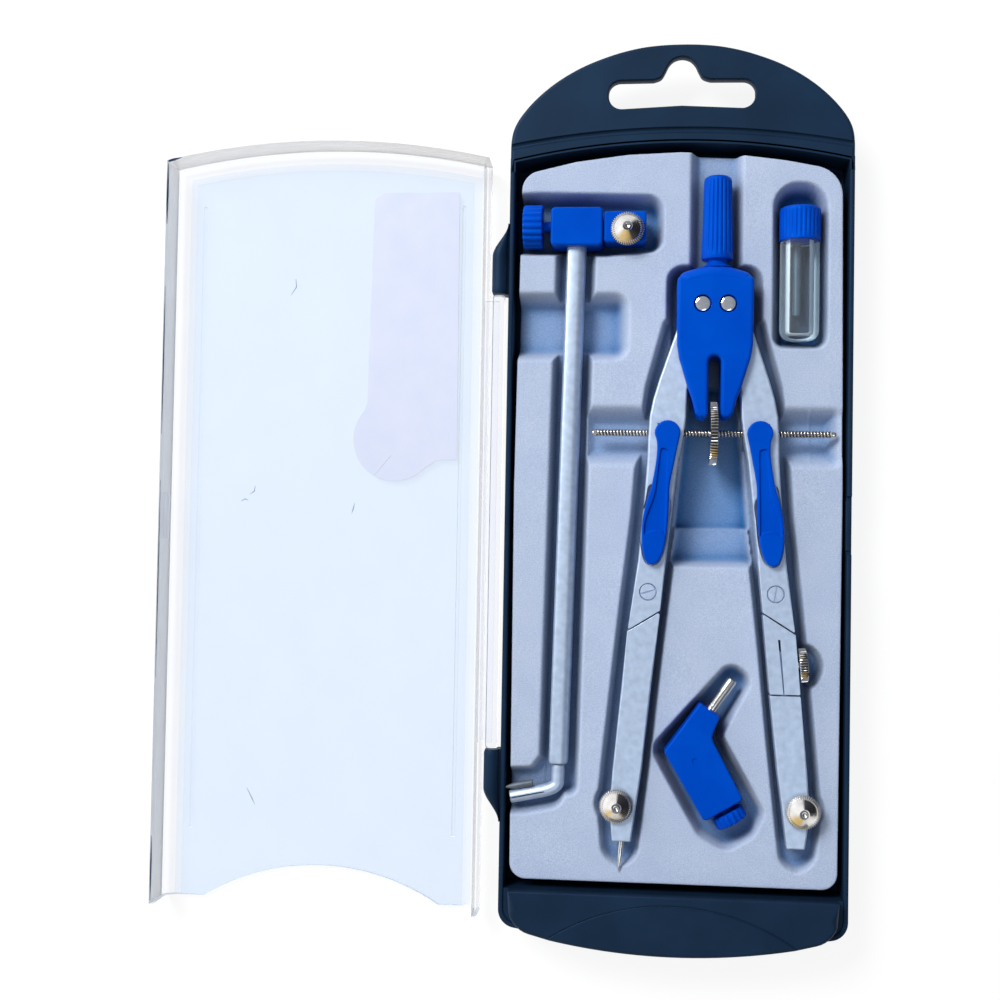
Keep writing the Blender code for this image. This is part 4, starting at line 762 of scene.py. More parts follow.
def clear_lid():
    """An open-footed shell with round edges; its fillets and rims get slightly darker clear tints, painted
    shade for the light the curved plastic bends.
    """
    def quarter(radius, sign):
        """Stations (inset, height) around a bottom edge, from under the panel up the wall."""
        return [(radius * (1 - math.sin(a)), radius * (1 - math.cos(a)))
                for a in (math.radians(15 * k) for k in range(7))][::sign]

    outside = quarter(2.8, 1) + [(0, RIM - 0.2), (0.06, RIM - 0.06), (0.2, RIM)]
    inside = [(LID_WALL - 0.2, RIM), (LID_WALL - 0.06, RIM - 0.06), (LID_WALL, RIM - 0.2)]
    inside += [(LID_WALL + by, LID_WALL + z) for by, z in quarter(3.6, -1)]
    stations = outside + inside
    rings = []
    for by, z in stations:
        half = LID_HALF - by
        plan = opened(bow(half, 97.1 - by, HEAD_ARC, 48) + v2([(-half, -112 + by), (half, -112 + by)]))
        rings.append([(*p, z) for p in plan])
    bm = loft(rings)
    around = len(rings[0])
    bm.faces.ensure_lookup_table()
    bands = len(stations) - 1
    for k, face in enumerate(bm.faces):
        band = k // around
        if band < bands:
            face.material_index = 1 if band in (6, 12) else 2 if band < 6 or band > 12 else 3
    lid = make("clear_lid", bm, "clear_plastic", "lid", ("lid",), sharp=50)
    # Painted shade: the fillets (clear_2) and rims (clear_3) take darker tints than the walls (clear_1).
    for tint in ((1.0, 1.0, 1.0), (0.965, 0.972, 0.998), (0.985, 0.988, 1.0)):
        lid.data.materials.append(clear_material(f"clear_{len(lid.data.materials)}", tint, 0.04, gloss=1.13))
    foot = pad(opened(v2([(45, -120), (45, -97.0), (-45, -97.0), (-45, -120)])), -2, 20, 0, 0)
    arch = opened(v2([(31.4, -110), (31.4, -97.6)]) + bow(31.4, -88.2, 57.5, 40)[1:-1]
                  + v2([(-31.4, -97.6), (-31.4, -110)]))
    carve(lid, foot, pad(arch, -2, 20, 0, 0))
    lid_fittings(lid.data.materials[2])


def lid_fittings(edge):
    """Two moulded ribs on the panel, the hinge's rod and web, and the latch's tongue."""
    pale = clear_material("clear_rib", (0.985, 0.99, 1.0), 0.1, gloss=1.03)
    for side in (-1, 1):
        x = LID_X + side * 34.3
        rib = pad(box(x - 0.4, -79.5, x + 0.4, 82.5), 1.1, 2.6, 0.25, 0)
        make(f"lid_rib_{side + 2}", rib, pale, "lid")
    low, high = -55.1, 57.3
    rod = [(1.3, low), (1.55, low + 0.25), (1.55, high - 0.25), (1.3, high)]
    # The rod, web and tongue take edge, the fillets' darker tint of painted shade.
    make("hinge_rod", turned(rod, (HINGE_X, 0, PARTING), (0, 1, 0), 40), edge, "lid")
    beside = LID_X + LID_HALF - 0.5
    web = v2([(HINGE_X, low + 1.2), (HINGE_X, high - 1.2), (beside, high - 1.2), (beside, low + 1.2)])
    make("hinge_web", pad(web, PARTING - 1.5, PARTING - 0.45, 0.2, 0.2), edge, "lid")
    far = LID_X - LID_HALF
    tongue = box(far + 0.6, -4.6, far + 2.0, 7.0)
    make("latch_tongue", pad(tongue, 9.3, PARTING - 0.45, 0.3, 0.3), edge, "lid")


def accents():
    """Dark lines where the lid's moulded edge bends the light, and a few scratches on its panel."""
    dark = clear_material("clear_dark_edge", (0.22, 0.30, 0.42), 0.08)
    faint = clear_material("clear_scratch", (0.45, 0.56, 0.70), 0.2)
    far = LID_X - LID_HALF + 0.3
    runs = [(91.5, 76.0, 0.28), (60, 22, 0.16), (10, -40, 0.13), (-80, -96.3, 0.2)]
    for k, (top, low, radius) in enumerate(runs):
        path = [(far, top + (low - top) * t / 6, RIM - 0.3) for t in range(7)]
        radii = [radius * (0.25 + 0.75 * math.sin(math.pi * t / 6)) for t in range(7)]
        make(f"lid_edge_line_{k}", sweep(path, radii, 6), dark, "lid")
    corner = [(far + x, y, RIM - 0.2) for x, y in ((0.1, 92.2), (1.6, 92.6), (3.6, 93.1))]
    make("lid_corner_line", sweep(corner, [0.3, 0.34, 0.05], 6), dark, "lid")
    scratches = [[(-99.4, 63.8), (-99.2, 61.6), (-100.6, 59.4)],
                 [(-109.0, 9.4), (-109.2, 8.0), (-110.4, 7.2)],
                 [(-112.6, 5.4), (-111.6, 6.0), (-110.8, 5.6)],
                 [(-82.6, 5.2), (-82.9, 3.8), (-83.3, 2.6)],
                 [(-109.4, -69.0), (-108.0, -71.6), (-107.2, -73.2)]]
    for k, path in enumerate(scratches):
        mark = sweep([(x, y, 1.22) for x, y in path], [0.05, 0.11, 0.04], 6)
        make(f"lid_scratch_{k}", mark, faint, "lid")


def leaflet():
    outline = v2([(-56.5, 86.2), (-76.5, 86.2), (-78.7, 84.6), (-79.2, 60), (-79.7, 31.6)])
    outline += arc((-72.3, 22.0), 10.9, 138, 318, 30)
    outline += v2([(-62.6, 15.6), (-61.4, 16.6), (-56.0, 16.75)])
    strip = make("leaflet", pad(outline, 1.5, 1.78, 0.02, 0.02, 1), "pale_paper", "lid", ("lid_leaflet",))
    slit = v2([(-73.2, 17.7), (-73.1, 17.6), (-77.5, 12.3), (-77.6, 12.4)])
    carve(strip, pad(slit, 1.3, 2.2, 0, 0))


# --- compass ------------------------------------------------------------------------------------
SIDES = ((-1, "left"), (1, "right"))
UPPER_LEG = [(7.1, 0.2), (9.7, -7.5), (13.4, -18.5), (14.8, -23.4), (15.6, -27.5), (15.9, -33.0),
             (16.0, -38.1), (16.6, -47.8), (17.9, -62.8), (20.2, -79.95), (12.4, -75.1), (10.9, -60.8),
             (9.5, -47.8), (8.4, -38.1), (7.4, -32.8), (6.7, -27.8), (6.5, -21.0), (4.2, -11.0), (2.4, -1.6)]
LEVER = [(14.3, -32.0), (13.7, -34.4), (13.9, -38.5), (14.9, -44.5), (16.1, -48.5), (17.0, -53.0),
         (17.2, -57.5), (16.8, -61.0), (16.0, -63.2), (14.8, -63.9), (13.2, -63.3), (12.1, -61.2),
         (11.3, -57.9), (10.8, -53.0), (10.6, -48.0), (10.5, -44.5), (9.8, -40.5), (8.8, -35.4),
         (8.1, -32.0)]


def spline(points, steps=5, closed=True):
    """A smooth outline through points."""
    n = len(points)
    out = []
    for i in range(n if closed else n - 1):
        near = [(i + k) % n if closed else min(max(i + k, 0), n - 1) for k in (-1, 0, 1, 2)]
        p = [Vector(points[k]) for k in near]
        for s in range(steps):
            t = s / steps
            out.append(0.5 * (2 * p[1] + (p[2] - p[0]) * t + (2 * p[0] - 5 * p[1] + 4 * p[2] - p[3]) * t * t
                              + (3 * p[1] - p[0] - 3 * p[2] + p[3]) * t ** 3))
    return out if closed else out + [Vector(points[-1])]


def hole(x, y, radius, low, high, flare=0.0):
    """A round cutter along z, a little wider at its top."""
    profile = [(radius, low), (radius, high - flare)]
    if flare:
        profile += [(radius + flare * 0.3, high - flare * 0.3), (radius + flare * 1.2, high + 0.3)]
    profile.append((profile[-1][0], high + 2))
    return placed(lathe(profile, 28), Matrix.Translation((x, y, 0)))


def leg_slab(outline, side, seams):
    """A leg's slab: round along its sides, crisp where it meets the next part, at the seam heights given."""
    outline = upright(on_compass(mirrored(outline, side)))
    tops = [0.12 if any(low <= p.y - PIVOT_Y <= high for low, high in seams) else 0.5 for p in outline]
    return pad(outline, MID - 2.6, MID + 2.6, tops, 0.4, 4)


def upper_legs():
    for side, word in SIDES:
        outline = rounded([(x, y, 1.2 if 1 < i < 9 else 0.25) for i, (x, y) in enumerate(UPPER_LEG)], 4)
        leg = make(f"{word}_arm", leg_slab(outline, side, [(-81, -74)]), "satin_silver", f"{word}_leg",
                   (f"{word}_upper_leg",))
        knee = at_compass(side * KNEE_U, KNEE_V)
        x, y, _ = at_compass(side * 11.35, SPINDLE_V)
        bed = spline(LEVER[3:-4], 5)
        carve(leg, hole(knee.x, knee.y, 2.1, MID + 1.75, MID + 2.6, flare=0.2),
              pad(box_about(x, y, 2.3, 2.3), MID - 1.8, MID + 4, 0, 0.2, 1),
              bore(1.35, -9, 9, at_compass(side * 11.4, SPINDLE_V), (1, 0, 0)),
              pad(inset(upright(on_compass(mirrored(bed, side))), -0.34), MID + 0.9, MID + 5, 0, 0.2, 2))
        gear = lathe([(3.3, -1.7), (3.3, 1.7)], 80, shape=lambda a, r, z: r - 0.45 + 0.45 * math.cos(10 * a))
        make(f"{word}_gear", gear, "satin_silver", f"{word}_leg",
             place=Matrix.Translation(at_compass(side * GEAR_U, 0)))


def levers():
    """Blue rockers: a round head, a tapered trough that opens into a scoop, and a raised pad at the foot."""
    for side, word in SIDES:
        head = [tuple(p) for p in arc((11.2, -31.7), 3.15, 0, 180, 12)]
        body = LEVER[::-1][1:-1]
        outline = [Vector(p) for p in head] + spline([LEVER[-1], *body, LEVER[0]], 5, False)[1:-1]
        slab = pad(on_compass(mirrored(outline, side)), MID + 2.9, MID + 4.65, 0.5, 0.4, 5)
        lever = make(f"{word}_lever_arm", slab, "blue_plastic", f"{word}_lever", (f"{word}_release_lever",))
        trough = spline([(11.4, -35.6), (12.4, -35.4), (13.0, -36.2), (13.5, -41), (14.2, -46.5),
                         (15.6, -50.6), (16.5, -53.6), (16.6, -56.6), (15.2, -56.1), (13.9, -55.8),
                         (12.4, -56.0), (11.4, -56.6), (11.3, -53.8), (11.2, -49.6), (11.1, -45.6),
                         (11.0, -40.4), (10.9, -36.4)], 4)
        carve(lever, pad(on_compass(mirrored(trough, side)), MID + 4.1, MID + 6, 0, 0.5, 4))
        lug = at_compass(side * 12.75, -44.0, 1.55)
        block = pad(box_about(lug.x, lug.y, 1.1, 1.2), lug.z - 0.8, MID + 3.2, 0.1, 0.3)
        make(f"{word}_lever_lug", block, "blue_plastic", f"{word}_lever")


def lower_legs():
    outer, inner = 20.35, 12.4
    left = [(outer, -80.4), (21.45, -93), (23.45, -114.5), (23.9, -121.5), (23.9, -125.5), (23.35, -131.55),
            (18.8, -131.6), (17.4, -121.5), (16.3, -113.5), (14.3, -93), (inner, -75.45)]
    slab = leg_slab(rounded([(*p, 0.4) for p in left], 3), -1, [(-81, -74)])
    leg = make("left_shin", slab, "satin_silver", "left_shin", ("left_lower_leg",))
    mouth = at_compass(-21.05, -131.6, 0.4)
    down = Vector((-math.sin(LEG_LEAN), -math.cos(LEG_LEAN), 0))
    carve(leg, bore(0.95, -4, 2, mouth, down))
    right = [(outer, -80.4), (21.62, -94.85), (14.28, -94.85), (inner, -75.45)]
    slab = leg_slab(rounded([(*p, 0.3) for p in right], 3), 1, [(-81, -74), (-96, -94)])
    leg = make("right_shin", slab, "satin_silver", "right_shin", ("right_lower_leg",))
    slit = on_compass([Vector(p) for p in ((17.65, -96), (17.9, -96), (16.65, -81.6), (16.1, -81.6))])
    carve(leg, pad(slit, MID - 4, MID + 4, 0, 0, 1),
          bore(1.2, -3, 3, at_compass(21.0, -87.9), (math.cos(LEG_LEAN), math.sin(LEG_LEAN), 0), 20))
    holder = [(21.66, -95.2), (23.5, -114.5), (24.0, -121.5), (23.95, -125.5), (23.05, -131.95),
              (18.75, -131.95), (17.4, -121.5), (16.3, -113.5), (14.32, -95.2)]
    slab = leg_slab(rounded([(*p, 0.35) for p in holder], 3), 1, [(-96, -95)])
    leg = make("lead_arm", slab, "satin_silver", "lead_arm", ("lead_holder",))
    along = (LEG_LEAN, -0.9957, 0)
    carve(leg, bore(1.1, -4, 2, at_compass(20.9, -132.0), along))
    pin = turned([(1.1, -10.6), (1.4, -10.2), (1.4, 1.5)], at_compass(17.95, -94.9), along, 28)
    make("lead_arm_pin", pin, "satin_silver", "lead_arm")


def knee_screws():
    for side, word, turn in ((-1, "left", 0.3), (1, "right", 1.4)):
        knee = at_compass(side * KNEE_U, KNEE_V)
        profile = [(0.9, -2.3), (0.95, 1.8), (1.9, 1.9), (1.95, 2.35), (1.8, 2.52), (1.0, 2.56), (0.3, 2.57)]
        head = make(f"{word}_knee_head", lathe(profile, 40), "satin_silver", f"{word}_leg",
                    (f"{word}_knee_screw",), Matrix.Translation(knee))
        along = Vector((math.cos(turn), math.sin(turn)))
        side_way = Vector((-along.y, along.x)) * 0.22
        tip = along * 2.6
        slot = [knee.xy + a for a in (-tip - side_way, tip - side_way, tip + side_way, -tip + side_way)]
        carve(head, pad(slot, MID + 2.15, MID + 4, 0, 0.05, 1))


def head_covers():
    right = [(1.5, -14.2), (1.5, -27.0), (2.0, -27.9), (3.6, -27.9), (4.5, -27.0), (5.4, -23.5), (6.7, -19.8),
             (8.7, -13.2), (9.2, -10.0), (9.3, 6.0), (8.1, 7.9), (4.2, 9.1), (1.4, 9.6)]
    radii = [0, 0.3, 0.7, 0.9, 1.2, 3, 4, 2, 4, 1.6, 2.0, 3, 3]
    corners = [(x, y, r) for (x, y), r in zip(right, radii)]
    crown = [(p.x, p.y, 0) for p in arc((0, -14.2), 1.5, 180, 0, 10)][1:-1]
    left = [(-x, y, r) for x, y, r in corners[::-1]]
    outline = on_compass(rounded(corners + left + crown, 6))
    for front, name in ((True, "head_front"), (False, "head_rear")):
        low, high = (MID + 0.15, MID + 5.0) if front else (MID - 5.0, MID - 0.15)
        shoulders = [2.3 if p.y - PIVOT_Y > 6.6 else 0.9 for p in outline]
        bm = pad(outline, low, high, shoulders if front else 0.1, 0.1 if front else 0.9, 5)
        cover = make(name, bm, "blue_plastic", "compass", (f"{name}_cover",))
        room = on_compass(v2([(8.2, 5.2), (-8.2, 5.2), (-8.2, -1.8), (-14, -1.8), (-14, -40), (14, -40),
                              (14, -1.8), (8.2, -1.8)]))
        hollow = pad(room, MID - 1 if front else MID - 3.0, MID + 3.0 if front else MID + 1, 0, 0, 1)
        cuts = [hollow]
        if front:
            for side in (-1, 1):
                spot = at_compass(side * GEAR_U, 0)
                cuts.append(hole(spot.x, spot.y, 2.15, MID + 3.75, MID + 5.0, flare=0.25))
        carve(cover, *cuts)
    crest = ((-8.6, 5.2), (-5.6, 6.3), (0, 7.0), (5.6, 6.3), (8.6, 5.2))
    ridge = [(*q, MID + 4.93) for q in spline([at_compass(u, v).xy for u, v in crest], 5, False)]
    make("head_ridge", sweep(ridge, 0.12, 8), "blue_plastic", "compass")


def head_screws():
    polished = metal("polished_screw", (0.85, 0.86, 0.88), (0.96, 0.97, 0.99), 0.08, 1.0, 0.002, 0.4)
    for side, word in SIDES:
        spot = at_compass(side * GEAR_U, 0)
        profile = [(1.1, -3.8), (1.1, 3.9), (1.86, 4.0), (1.88, 4.45), (1.72, 4.72), (1.35, 4.84), (0.7, 4.9),
                   (0.2, 4.92)]
        head = make(f"{word}_screw_head", lathe(profile, 40), polished, "compass", (f"{word}_head_screw",),
                    Matrix.Translation(spot))
        turn = Matrix.Rotation(0.35 * side + 0.5, 2)
        w, h = 1.25, 0.3
        cross = v2([(w, -h), (w, h), (h, h), (h, w), (-h, w), (-h, h), (-w, h), (-w, -h), (-h, -h), (-h, -w),
                    (h, -w), (h, -h)])
        carve(head, pad([spot.xy + turn @ c for c in cross], MID + 4.25, MID + 6, 0, 0))


def handle():
    stations = [(3.3, 11.4), (3.75, 11.55), (3.9, 12.0), (3.86, 14.5), (3.7, 20.0), (3.45, 31.0),
                (3.25, 31.7), (2.7, 32.15), (1.2, 32.25)]
    stations = [(a[0] + (b[0] - a[0]) * t, a[1] + (b[1] - a[1]) * t) for a, b in zip(stations, stations[1:])
                for t in (0, 0.34, 0.67)] + [stations[-1]]
    place = pointing(at_compass(0.5, 0), (0, 1, 0))
    grip = lathe(stations, 240, ribbed(20, 0.3, 2, run=(12.6, 0.8, 31.4, 0.6)))
    make("handle_grip", grip, "blue_plastic", "compass", ("compass_handle",), place, sharp=50)
    neck = lathe([(1.35, 5.6), (1.35, 9.3), (4.3, 9.4), (3.5, 9.85), (2.85, 10.2), (2.5, 10.6), (2.45, 11.0),
                  (2.6, 11.5)], 48)
    make("handle_stem", neck, "blue_plastic", "compass", place=place)


def spindle():
    """A fine helical thread with plain tips."""
    length, pitch, sides = 29.8, 0.8, 20
    rings = []
    steps = 620
    for k in range(steps + 1):
        x = -length + 2 * length * k / steps
        end = min(1.0, (length - abs(x)) / 0.35)
        plain = max(0.0, min(1.0, (abs(x) - 28.6) / 0.2))
        ring = []
        for s in range(sides):
            a = 2 * math.pi * s / sides
            phase = (x / pitch - a / (2 * math.pi)) % 1.0
            tooth = abs(phase - 0.5) * 2
            r = 1.0 - 0.34 * tooth * (1 - plain) - 0.28 * plain
            r *= 0.6 + 0.4 * end
            ring.append((x, r * math.cos(a), r * math.sin(a)))
        rings.append(ring)
    bm = loft(rings)
    # Painted shade: the faces down in the thread's valleys take the dark groove material.
    for face in bm.faces:
        centre = face.calc_center_median()
        if math.hypot(centre.y, centre.z) < 0.80 and abs(centre.x) < 28.6:
            face.material_index = 1
    rod = make("threaded_rod", bm, "bright_steel", "adjuster", ("threaded_spindle",),
               Matrix.Translation(at_compass(0, SPINDLE_V)), sharp=60)
    rod.data.materials.append(LOOKS["groove"])


def knurled(radius, teeth, depth):
    """Square-cut teeth on a rim."""
    def shape(angle, r, z):
        if r < radius - 0.55:
            return r
        return r - depth * unit(0.5 + 0.9 * math.cos(teeth * angle))

    return shape


def shade_valleys(bm, radius, depth):
    """Gives the valleys between a rim's ribs the second, darker material: painted shade in the valleys."""
    bm.normal_update()
    for face in bm.faces:
        centre = face.calc_center_median()
        reach = math.hypot(centre.x, centre.y)
        if abs(face.normal.z) < 0.6 and radius - 1.15 * depth < reach < radius - 0.6 * depth:
            face.material_index = 1
    return bm


def wheel():
    r = 7.8
    profile = [(1.3, -0.8), (5.9, -0.8), (6.3, -0.9), (r - 0.12, -0.9), (r, -0.8), (r, 0.8), (r - 0.12, 0.9),
               (6.3, 0.9), (5.9, 0.8), (1.3, 0.8)]
    place = pointing(at_compass(0, SPINDLE_V), (1, 0, 0))
    # Painted shade: the valleys between the wheel's teeth take the dark groove material.
    disc = shade_valleys(lathe(profile, 496, shape=knurled(r, 62, 0.42)), r, 0.42)
    disc = make("wheel_disc", disc, "bright_steel", "adjuster", ("adjusting_wheel",), place, sharp=45)
    disc.data.materials.append(LOOKS["groove"])


def half_nuts():
    for side, word in SIDES:
        x, y, _ = at_compass(side * 11.35, SPINDLE_V)
        block = pad(box_about(x, y, 1.8, 1.9), MID + 0.15, MID + 2.55, 0.2, 0.1, 3)
        nut = make(f"{word}_nut_block", block, "bright_steel", f"{word}_lever", (f"{word}_half_nut",))
        carve(nut, bore(1.3, -4, 4, (x, y, MID), (1, 0, 0)))


def cone_nut(name, x, y, base, body, node):
    """A knurled rim under a hollowed cone with a small crown and a centre dimple."""
    r = 4.2
    profile = [(1.4, 0.05), (3.4, 0.0), (3.95, 0.1), (r, 0.3), (r, 0.85), (r - 0.06, 1.0), (r - 0.3, 1.12)]
    for k in range(9):
        t = k / 8
        profile.append((3.78 - 2.8 * t, 1.2 + 2.4 * t))
    profile += [(0.9, 3.85), (0.86, 4.1), (0.7, 4.18), (0.45, 4.1), (0.3, 3.9), (0.1, 3.85)]
    # Painted shade: the knurl's valleys, and below, the crown's sides and centre dimple, take the dark groove
    # material.
    bm = shade_valleys(lathe(profile, 352, shape=knurled(r + 0.1, 44, 0.34)), r, 0.34)
    for face in bm.faces:
        centre = face.calc_center_median()
        if math.hypot(centre.x, centre.y) < 1.0 and centre.z > 3.5 and face.normal.z < 0.9:
            face.material_index = 1
    nut = make(name, bm, "bright_steel", body, (node,), Matrix.Translation((x, y, base)), sharp=50)
    nut.data.materials.append(LOOKS["groove"])


def clamp_nuts():
    for side, body, node in ((-1, "needle_nut", "needle_clamp"), (1, "lead_nut", "lead_clamp")):
        spot = at_compass(side * 22.4, -122.8)
        cone_nut(f"{node}_cone", spot.x, spot.y, MID + 2.9, body, f"{node}_nut")
    cone_nut("bar_clamp_cone", -13.0, 73.6, 14.6, "bar_nut", "bar_clamp_nut")


def side_screw():
    r = 4.1
    profile = [(1.0, 0.35), (3.6, 0.35), (r - 0.1, 0.45), (r, 0.7), (r, 2.05), (r - 0.1, 2.3), (3.5, 2.38),
               (2.2, 2.3), (2.0, 2.2), (0.3, 2.2)]
    place = pointing(at_compass(21.01, -87.9), (math.cos(LEG_LEAN), math.sin(LEG_LEAN), 0))
    # Painted shade: the valleys between the screw head's ribs take the dark groove material.
    rim = shade_valleys(lathe(profile, 320, shape=knurled(r, 40, 0.38)), r, 0.38)
    rim = make("side_screw_head", rim, "bright_steel", "side_screw", ("side_clamp_screw",), place, sharp=50)
    rim.data.materials.append(LOOKS["groove"])
    make("side_screw_shank", lathe([(0.9, -1.8), (0.9, 0.5)], 24), "bright_steel", "side_screw", place=place)


def needle_piece():
    down = Vector((-math.sin(LEG_LEAN), -math.cos(LEG_LEAN), 0))
    profile = [(0.62, -7.0), (0.65, -6.8), (0.65, 2.6), (0.62, 3.4), (0.5, 4.6), (0.34, 6.0), (0.16, 7.3),
               (0.05, 7.58)]
    make("needle_point", turned(profile, at_compass(-21.05, -131.6, 0.4), down, 28), "bright_steel", "needle",
         ("needle",))


# --- bar ----------------------------------------------------------------------------------------
def bar():
    lean = math.radians(-1.16)
    top = Vector((-25.5, 74.4, 10.5))
    down = Vector((math.sin(lean), -math.cos(lean), 0))
    side = Vector((-down.y, down.x, 0))
    rings = []
    section = [(-1.95, 2.2), (-1.3, 2.42), (0.4, 2.42), (1.2, 2.2), (1.95, 1.5), (2.4, 0.5), (2.4, -1.0),
               (1.75, -2.1), (1.0, -2.42), (-1.0, -2.42), (-1.75, -2.1), (-2.4, -1.0), (-2.4, 1.0),
               (-2.25, 1.8)]
    for along, grow in ((2.6, 0.9), (2.9, 1.0), (60, 1.0), (132.2, 1.0), (132.9, 0.93), (133.2, 0.8)):
        rings.append([top + down * along + side * a * grow + Vector((0, 0, b * grow)) for a, b in section])
    make("bar_rod", loft(rings), "satin_silver", "bar", ("extension_bar",), sharp=28)
    block = rounded([(-19.1, 79.2, 1.1), (-32.0, 79.2, 1.1), (-32.0, 69.6, 1.1), (-19.1, 69.6, 1.1)], 6)
    block = make("bar_head", pad(block, 6.0, 15.0, 0.6, 0.6, 5), "blue_plastic", "bar", ("bar_block",))
    carve(block, bore(2.75, 1.9, 12, top, down, 40))
    holder = rounded([(-8.3, 78.3, 1.0), (-18.85, 78.3, 0.8), (-18.85, 70.5, 0.8), (-8.3, 70.5, 1.0)], 6)
    holder = make("bar_sleeve", pad(holder, 6.7, 14.3, 0.55, 0.5, 5), "blue_plastic", "bar", ("bar_holder",))
    carve(holder, bore(1.2, -4, 2, (-8.3, 74.4, 9.5), (1, 0, 0), 28))
    r = 5.45
    profile = [(1.2, 0.1), (4.2, 0.05), (r - 0.35, 0.0), (r, 0.35), (r, 4.5), (r - 0.35, 4.85), (3.0, 4.85),
               (2.0, 4.7), (1.25, 4.7), (1.25, 10.2)]
    make("bar_knob_grip", turned(profile, (-39.0, 75.05, 10.5), (1, 0, 0), 180, ribbed(20, 0.42, 1.6, 5.0)),
         "blue_plastic", "bar_knob", ("bar_knob",), sharp=50)
    spigot(top, down)


def spigot(top, down):
    """The split tube, bent aside at the bar's foot, and the steel point beside it."""
    start = top + down * 133.5
    aim = Vector((-math.cos(math.radians(12)), -math.sin(math.radians(12)), 0))
    heel = start + down * 4.1
    path = [start, start + down * 1.2]
    for k in range(17):
        t = k / 16
        corner = heel + down * 1.7
        a = heel + (corner - heel) * t
        b = corner + aim * 4.08 * t
        path.append(a + (b - a) * t)
    path += [path[-1] + aim * 3.9, path[-1] + aim * 7.7, path[-1] + aim * 7.9]
    radii = [1.62] * (len(path) - 1) + [1.35]
    radii[0] = 1.5
    tube = make("split_spigot", sweep(path, radii, 28), "satin_silver", "bar", ("bar_split_spigot",))
    end = path[-1]
    back = end - aim * 8.6
    side = Vector((-aim.y, aim.x, 0))
    slit = [back.xy + side.xy * -0.05, back.xy + side.xy * 0.28, end.xy + aim.xy + side.xy * 0.38,
            end.xy + aim.xy + side.xy * -0.12]
    carve(tube, pad([Vector(p) for p in slit], 10.4, 14, 0, 0, 1))
    tip = end - aim * 0.1
    stick = tip + Vector((-1.7, 2.3, 0.7))
    way = Vector((-math.cos(math.radians(11)), -math.sin(math.radians(11)), 0))
    profile = [(0.7, -7.4), (0.85, -7.2), (0.85, -3.2), (0.6, -1.9), (0.3, -0.6), (0.08, 0.28)]
    make("steel_point", turned(profile, stick, way, 24), "graphite", "bar", ("bar_steel_point",))


# --- adapter ------------------------------------------------------------------------------------
def adapter():
    outline = rounded([(11.1, -45.8, 0.6), (6.3, -42.6, 0.6), (-2.3, -54.6, 0.9), (7.6, -71.2, 1.0),
                       (16.9, -65.6, 1.0), (9.0, -50.9, 3.0)], 8)
    body = pad(outline, 6.5, 15.1, 0.45, 0.5, 4)
    body = make("adapter_block", body, "blue_plastic", "adapter", ("adapter_body",))
    up = Vector((5.1, 7.4, 0)).normalized()
    mouth = Vector((9.25, -44.25, 10.8))
    dimple = hole(5.2, -56.6, 0.7, 14.85, 15.1, flare=0.1)
    carve(body, bore(1.5, -3, 2.5, mouth, up, 28), dimple)
    profile = [(1.35, -7.4), (1.35, 0.6), (1.2, 0.75), (1.38, 0.9)]
    for k in range(7):
        low = 1.3 + 0.55 * k
        profile += [(1.38, low), (1.22, low + 0.12), (1.22, low + 0.25), (1.38, low + 0.37)]
    profile += [(1.38, 8.3), (1.15, 8.75), (0.3, 8.8)]
    make("adapter_shank", turned(profile, mouth, up, 32), "bright_steel", "adapter", ("adapter_pin",))
    out = Vector((0.497, -0.868, 0)).normalized()
    spot = Vector((13.9, -70.4, 10.8)) - out * 1.5
    profile = [(1.2, -6.5), (1.2, 0.1), (3.4, 0.1), (3.85, 0.2), (4.1, 0.45), (4.1, 2.7), (3.8, 3.05),
               (2.6, 3.1), (2.2, 3.0), (0.3, 3.0)]
    make("adapter_grip", turned(profile, spot, out, 144, ribbed(16, 0.4, 1.6, 3.7)), "blue_plastic",
         "adapter_knob", ("adapter_knob",), sharp=50)


# --- lead tube ----------------------------------------------------------------------------------
def tube():
    r = 4.85
    glass = clear_material("clear_tube", (0.90, 0.955, 0.995), 0.04)
    profile = [(0.2, 1.3), (r - 2.0, 1.3), (r - 1.55, 1.7), (r - 1.35, 2.4), (r - 1.35, 30.6),
               (r - 0.6, 30.6), (r - 0.6, 24.6), (r - 0.1, 24.4), (r, 24.2), (r, 2.4), (r - 0.25, 1.4),
               (r - 0.9, 0.55), (r - 1.8, 0.12), (r - 2.8, 0), (0.2, 0)]
    place = pointing((29.6, 46.7, 9.5), (0, 1, 0))
    make("tube_wall", lathe(profile, 64), glass, "tube", ("lead_tube",), place, sharp=50)
    cap = [(r - 0.3, 24.7), (5.05, 24.75), (5.1, 24.95), (5.1, 25.4), (5.1, 26.5), (5.1, 28.5), (5.1, 30.5),
           (5.1, 31.8), (5.05, 32.4), (4.85, 32.85), (4.4, 33.08), (0.3, 33.1)]
    cap = lathe(cap, 196, ribbed(28, 0.25, 1.4, 4.8, (25.2, 0.5, 32.2, 0.5)))
    make("cap_shell", cap, "blue_plastic", "cap", ("tube_cap",), place, sharp=50)
    lead = [(0.9, 6.4), (1.1, 6.6), (1.1, 29.6), (0.9, 29.8)]
    make("lead_stick", turned(lead, (29.1, 46.7, 7.45), (0, 1, 0), 24), "graphite", "spare_lead",
         ("spare_lead",))


def pieces():
    for build in (flocked_insert, tray_walls, tab_plate, foot_deck, hinge_lugs, clear_lid, accents, leaflet,
                  upper_legs, levers, lower_legs, knee_screws, head_covers, head_screws, handle, spindle,
                  wheel, half_nuts, clamp_nuts, side_screw, needle_piece, bar, adapter, tube):
        build()


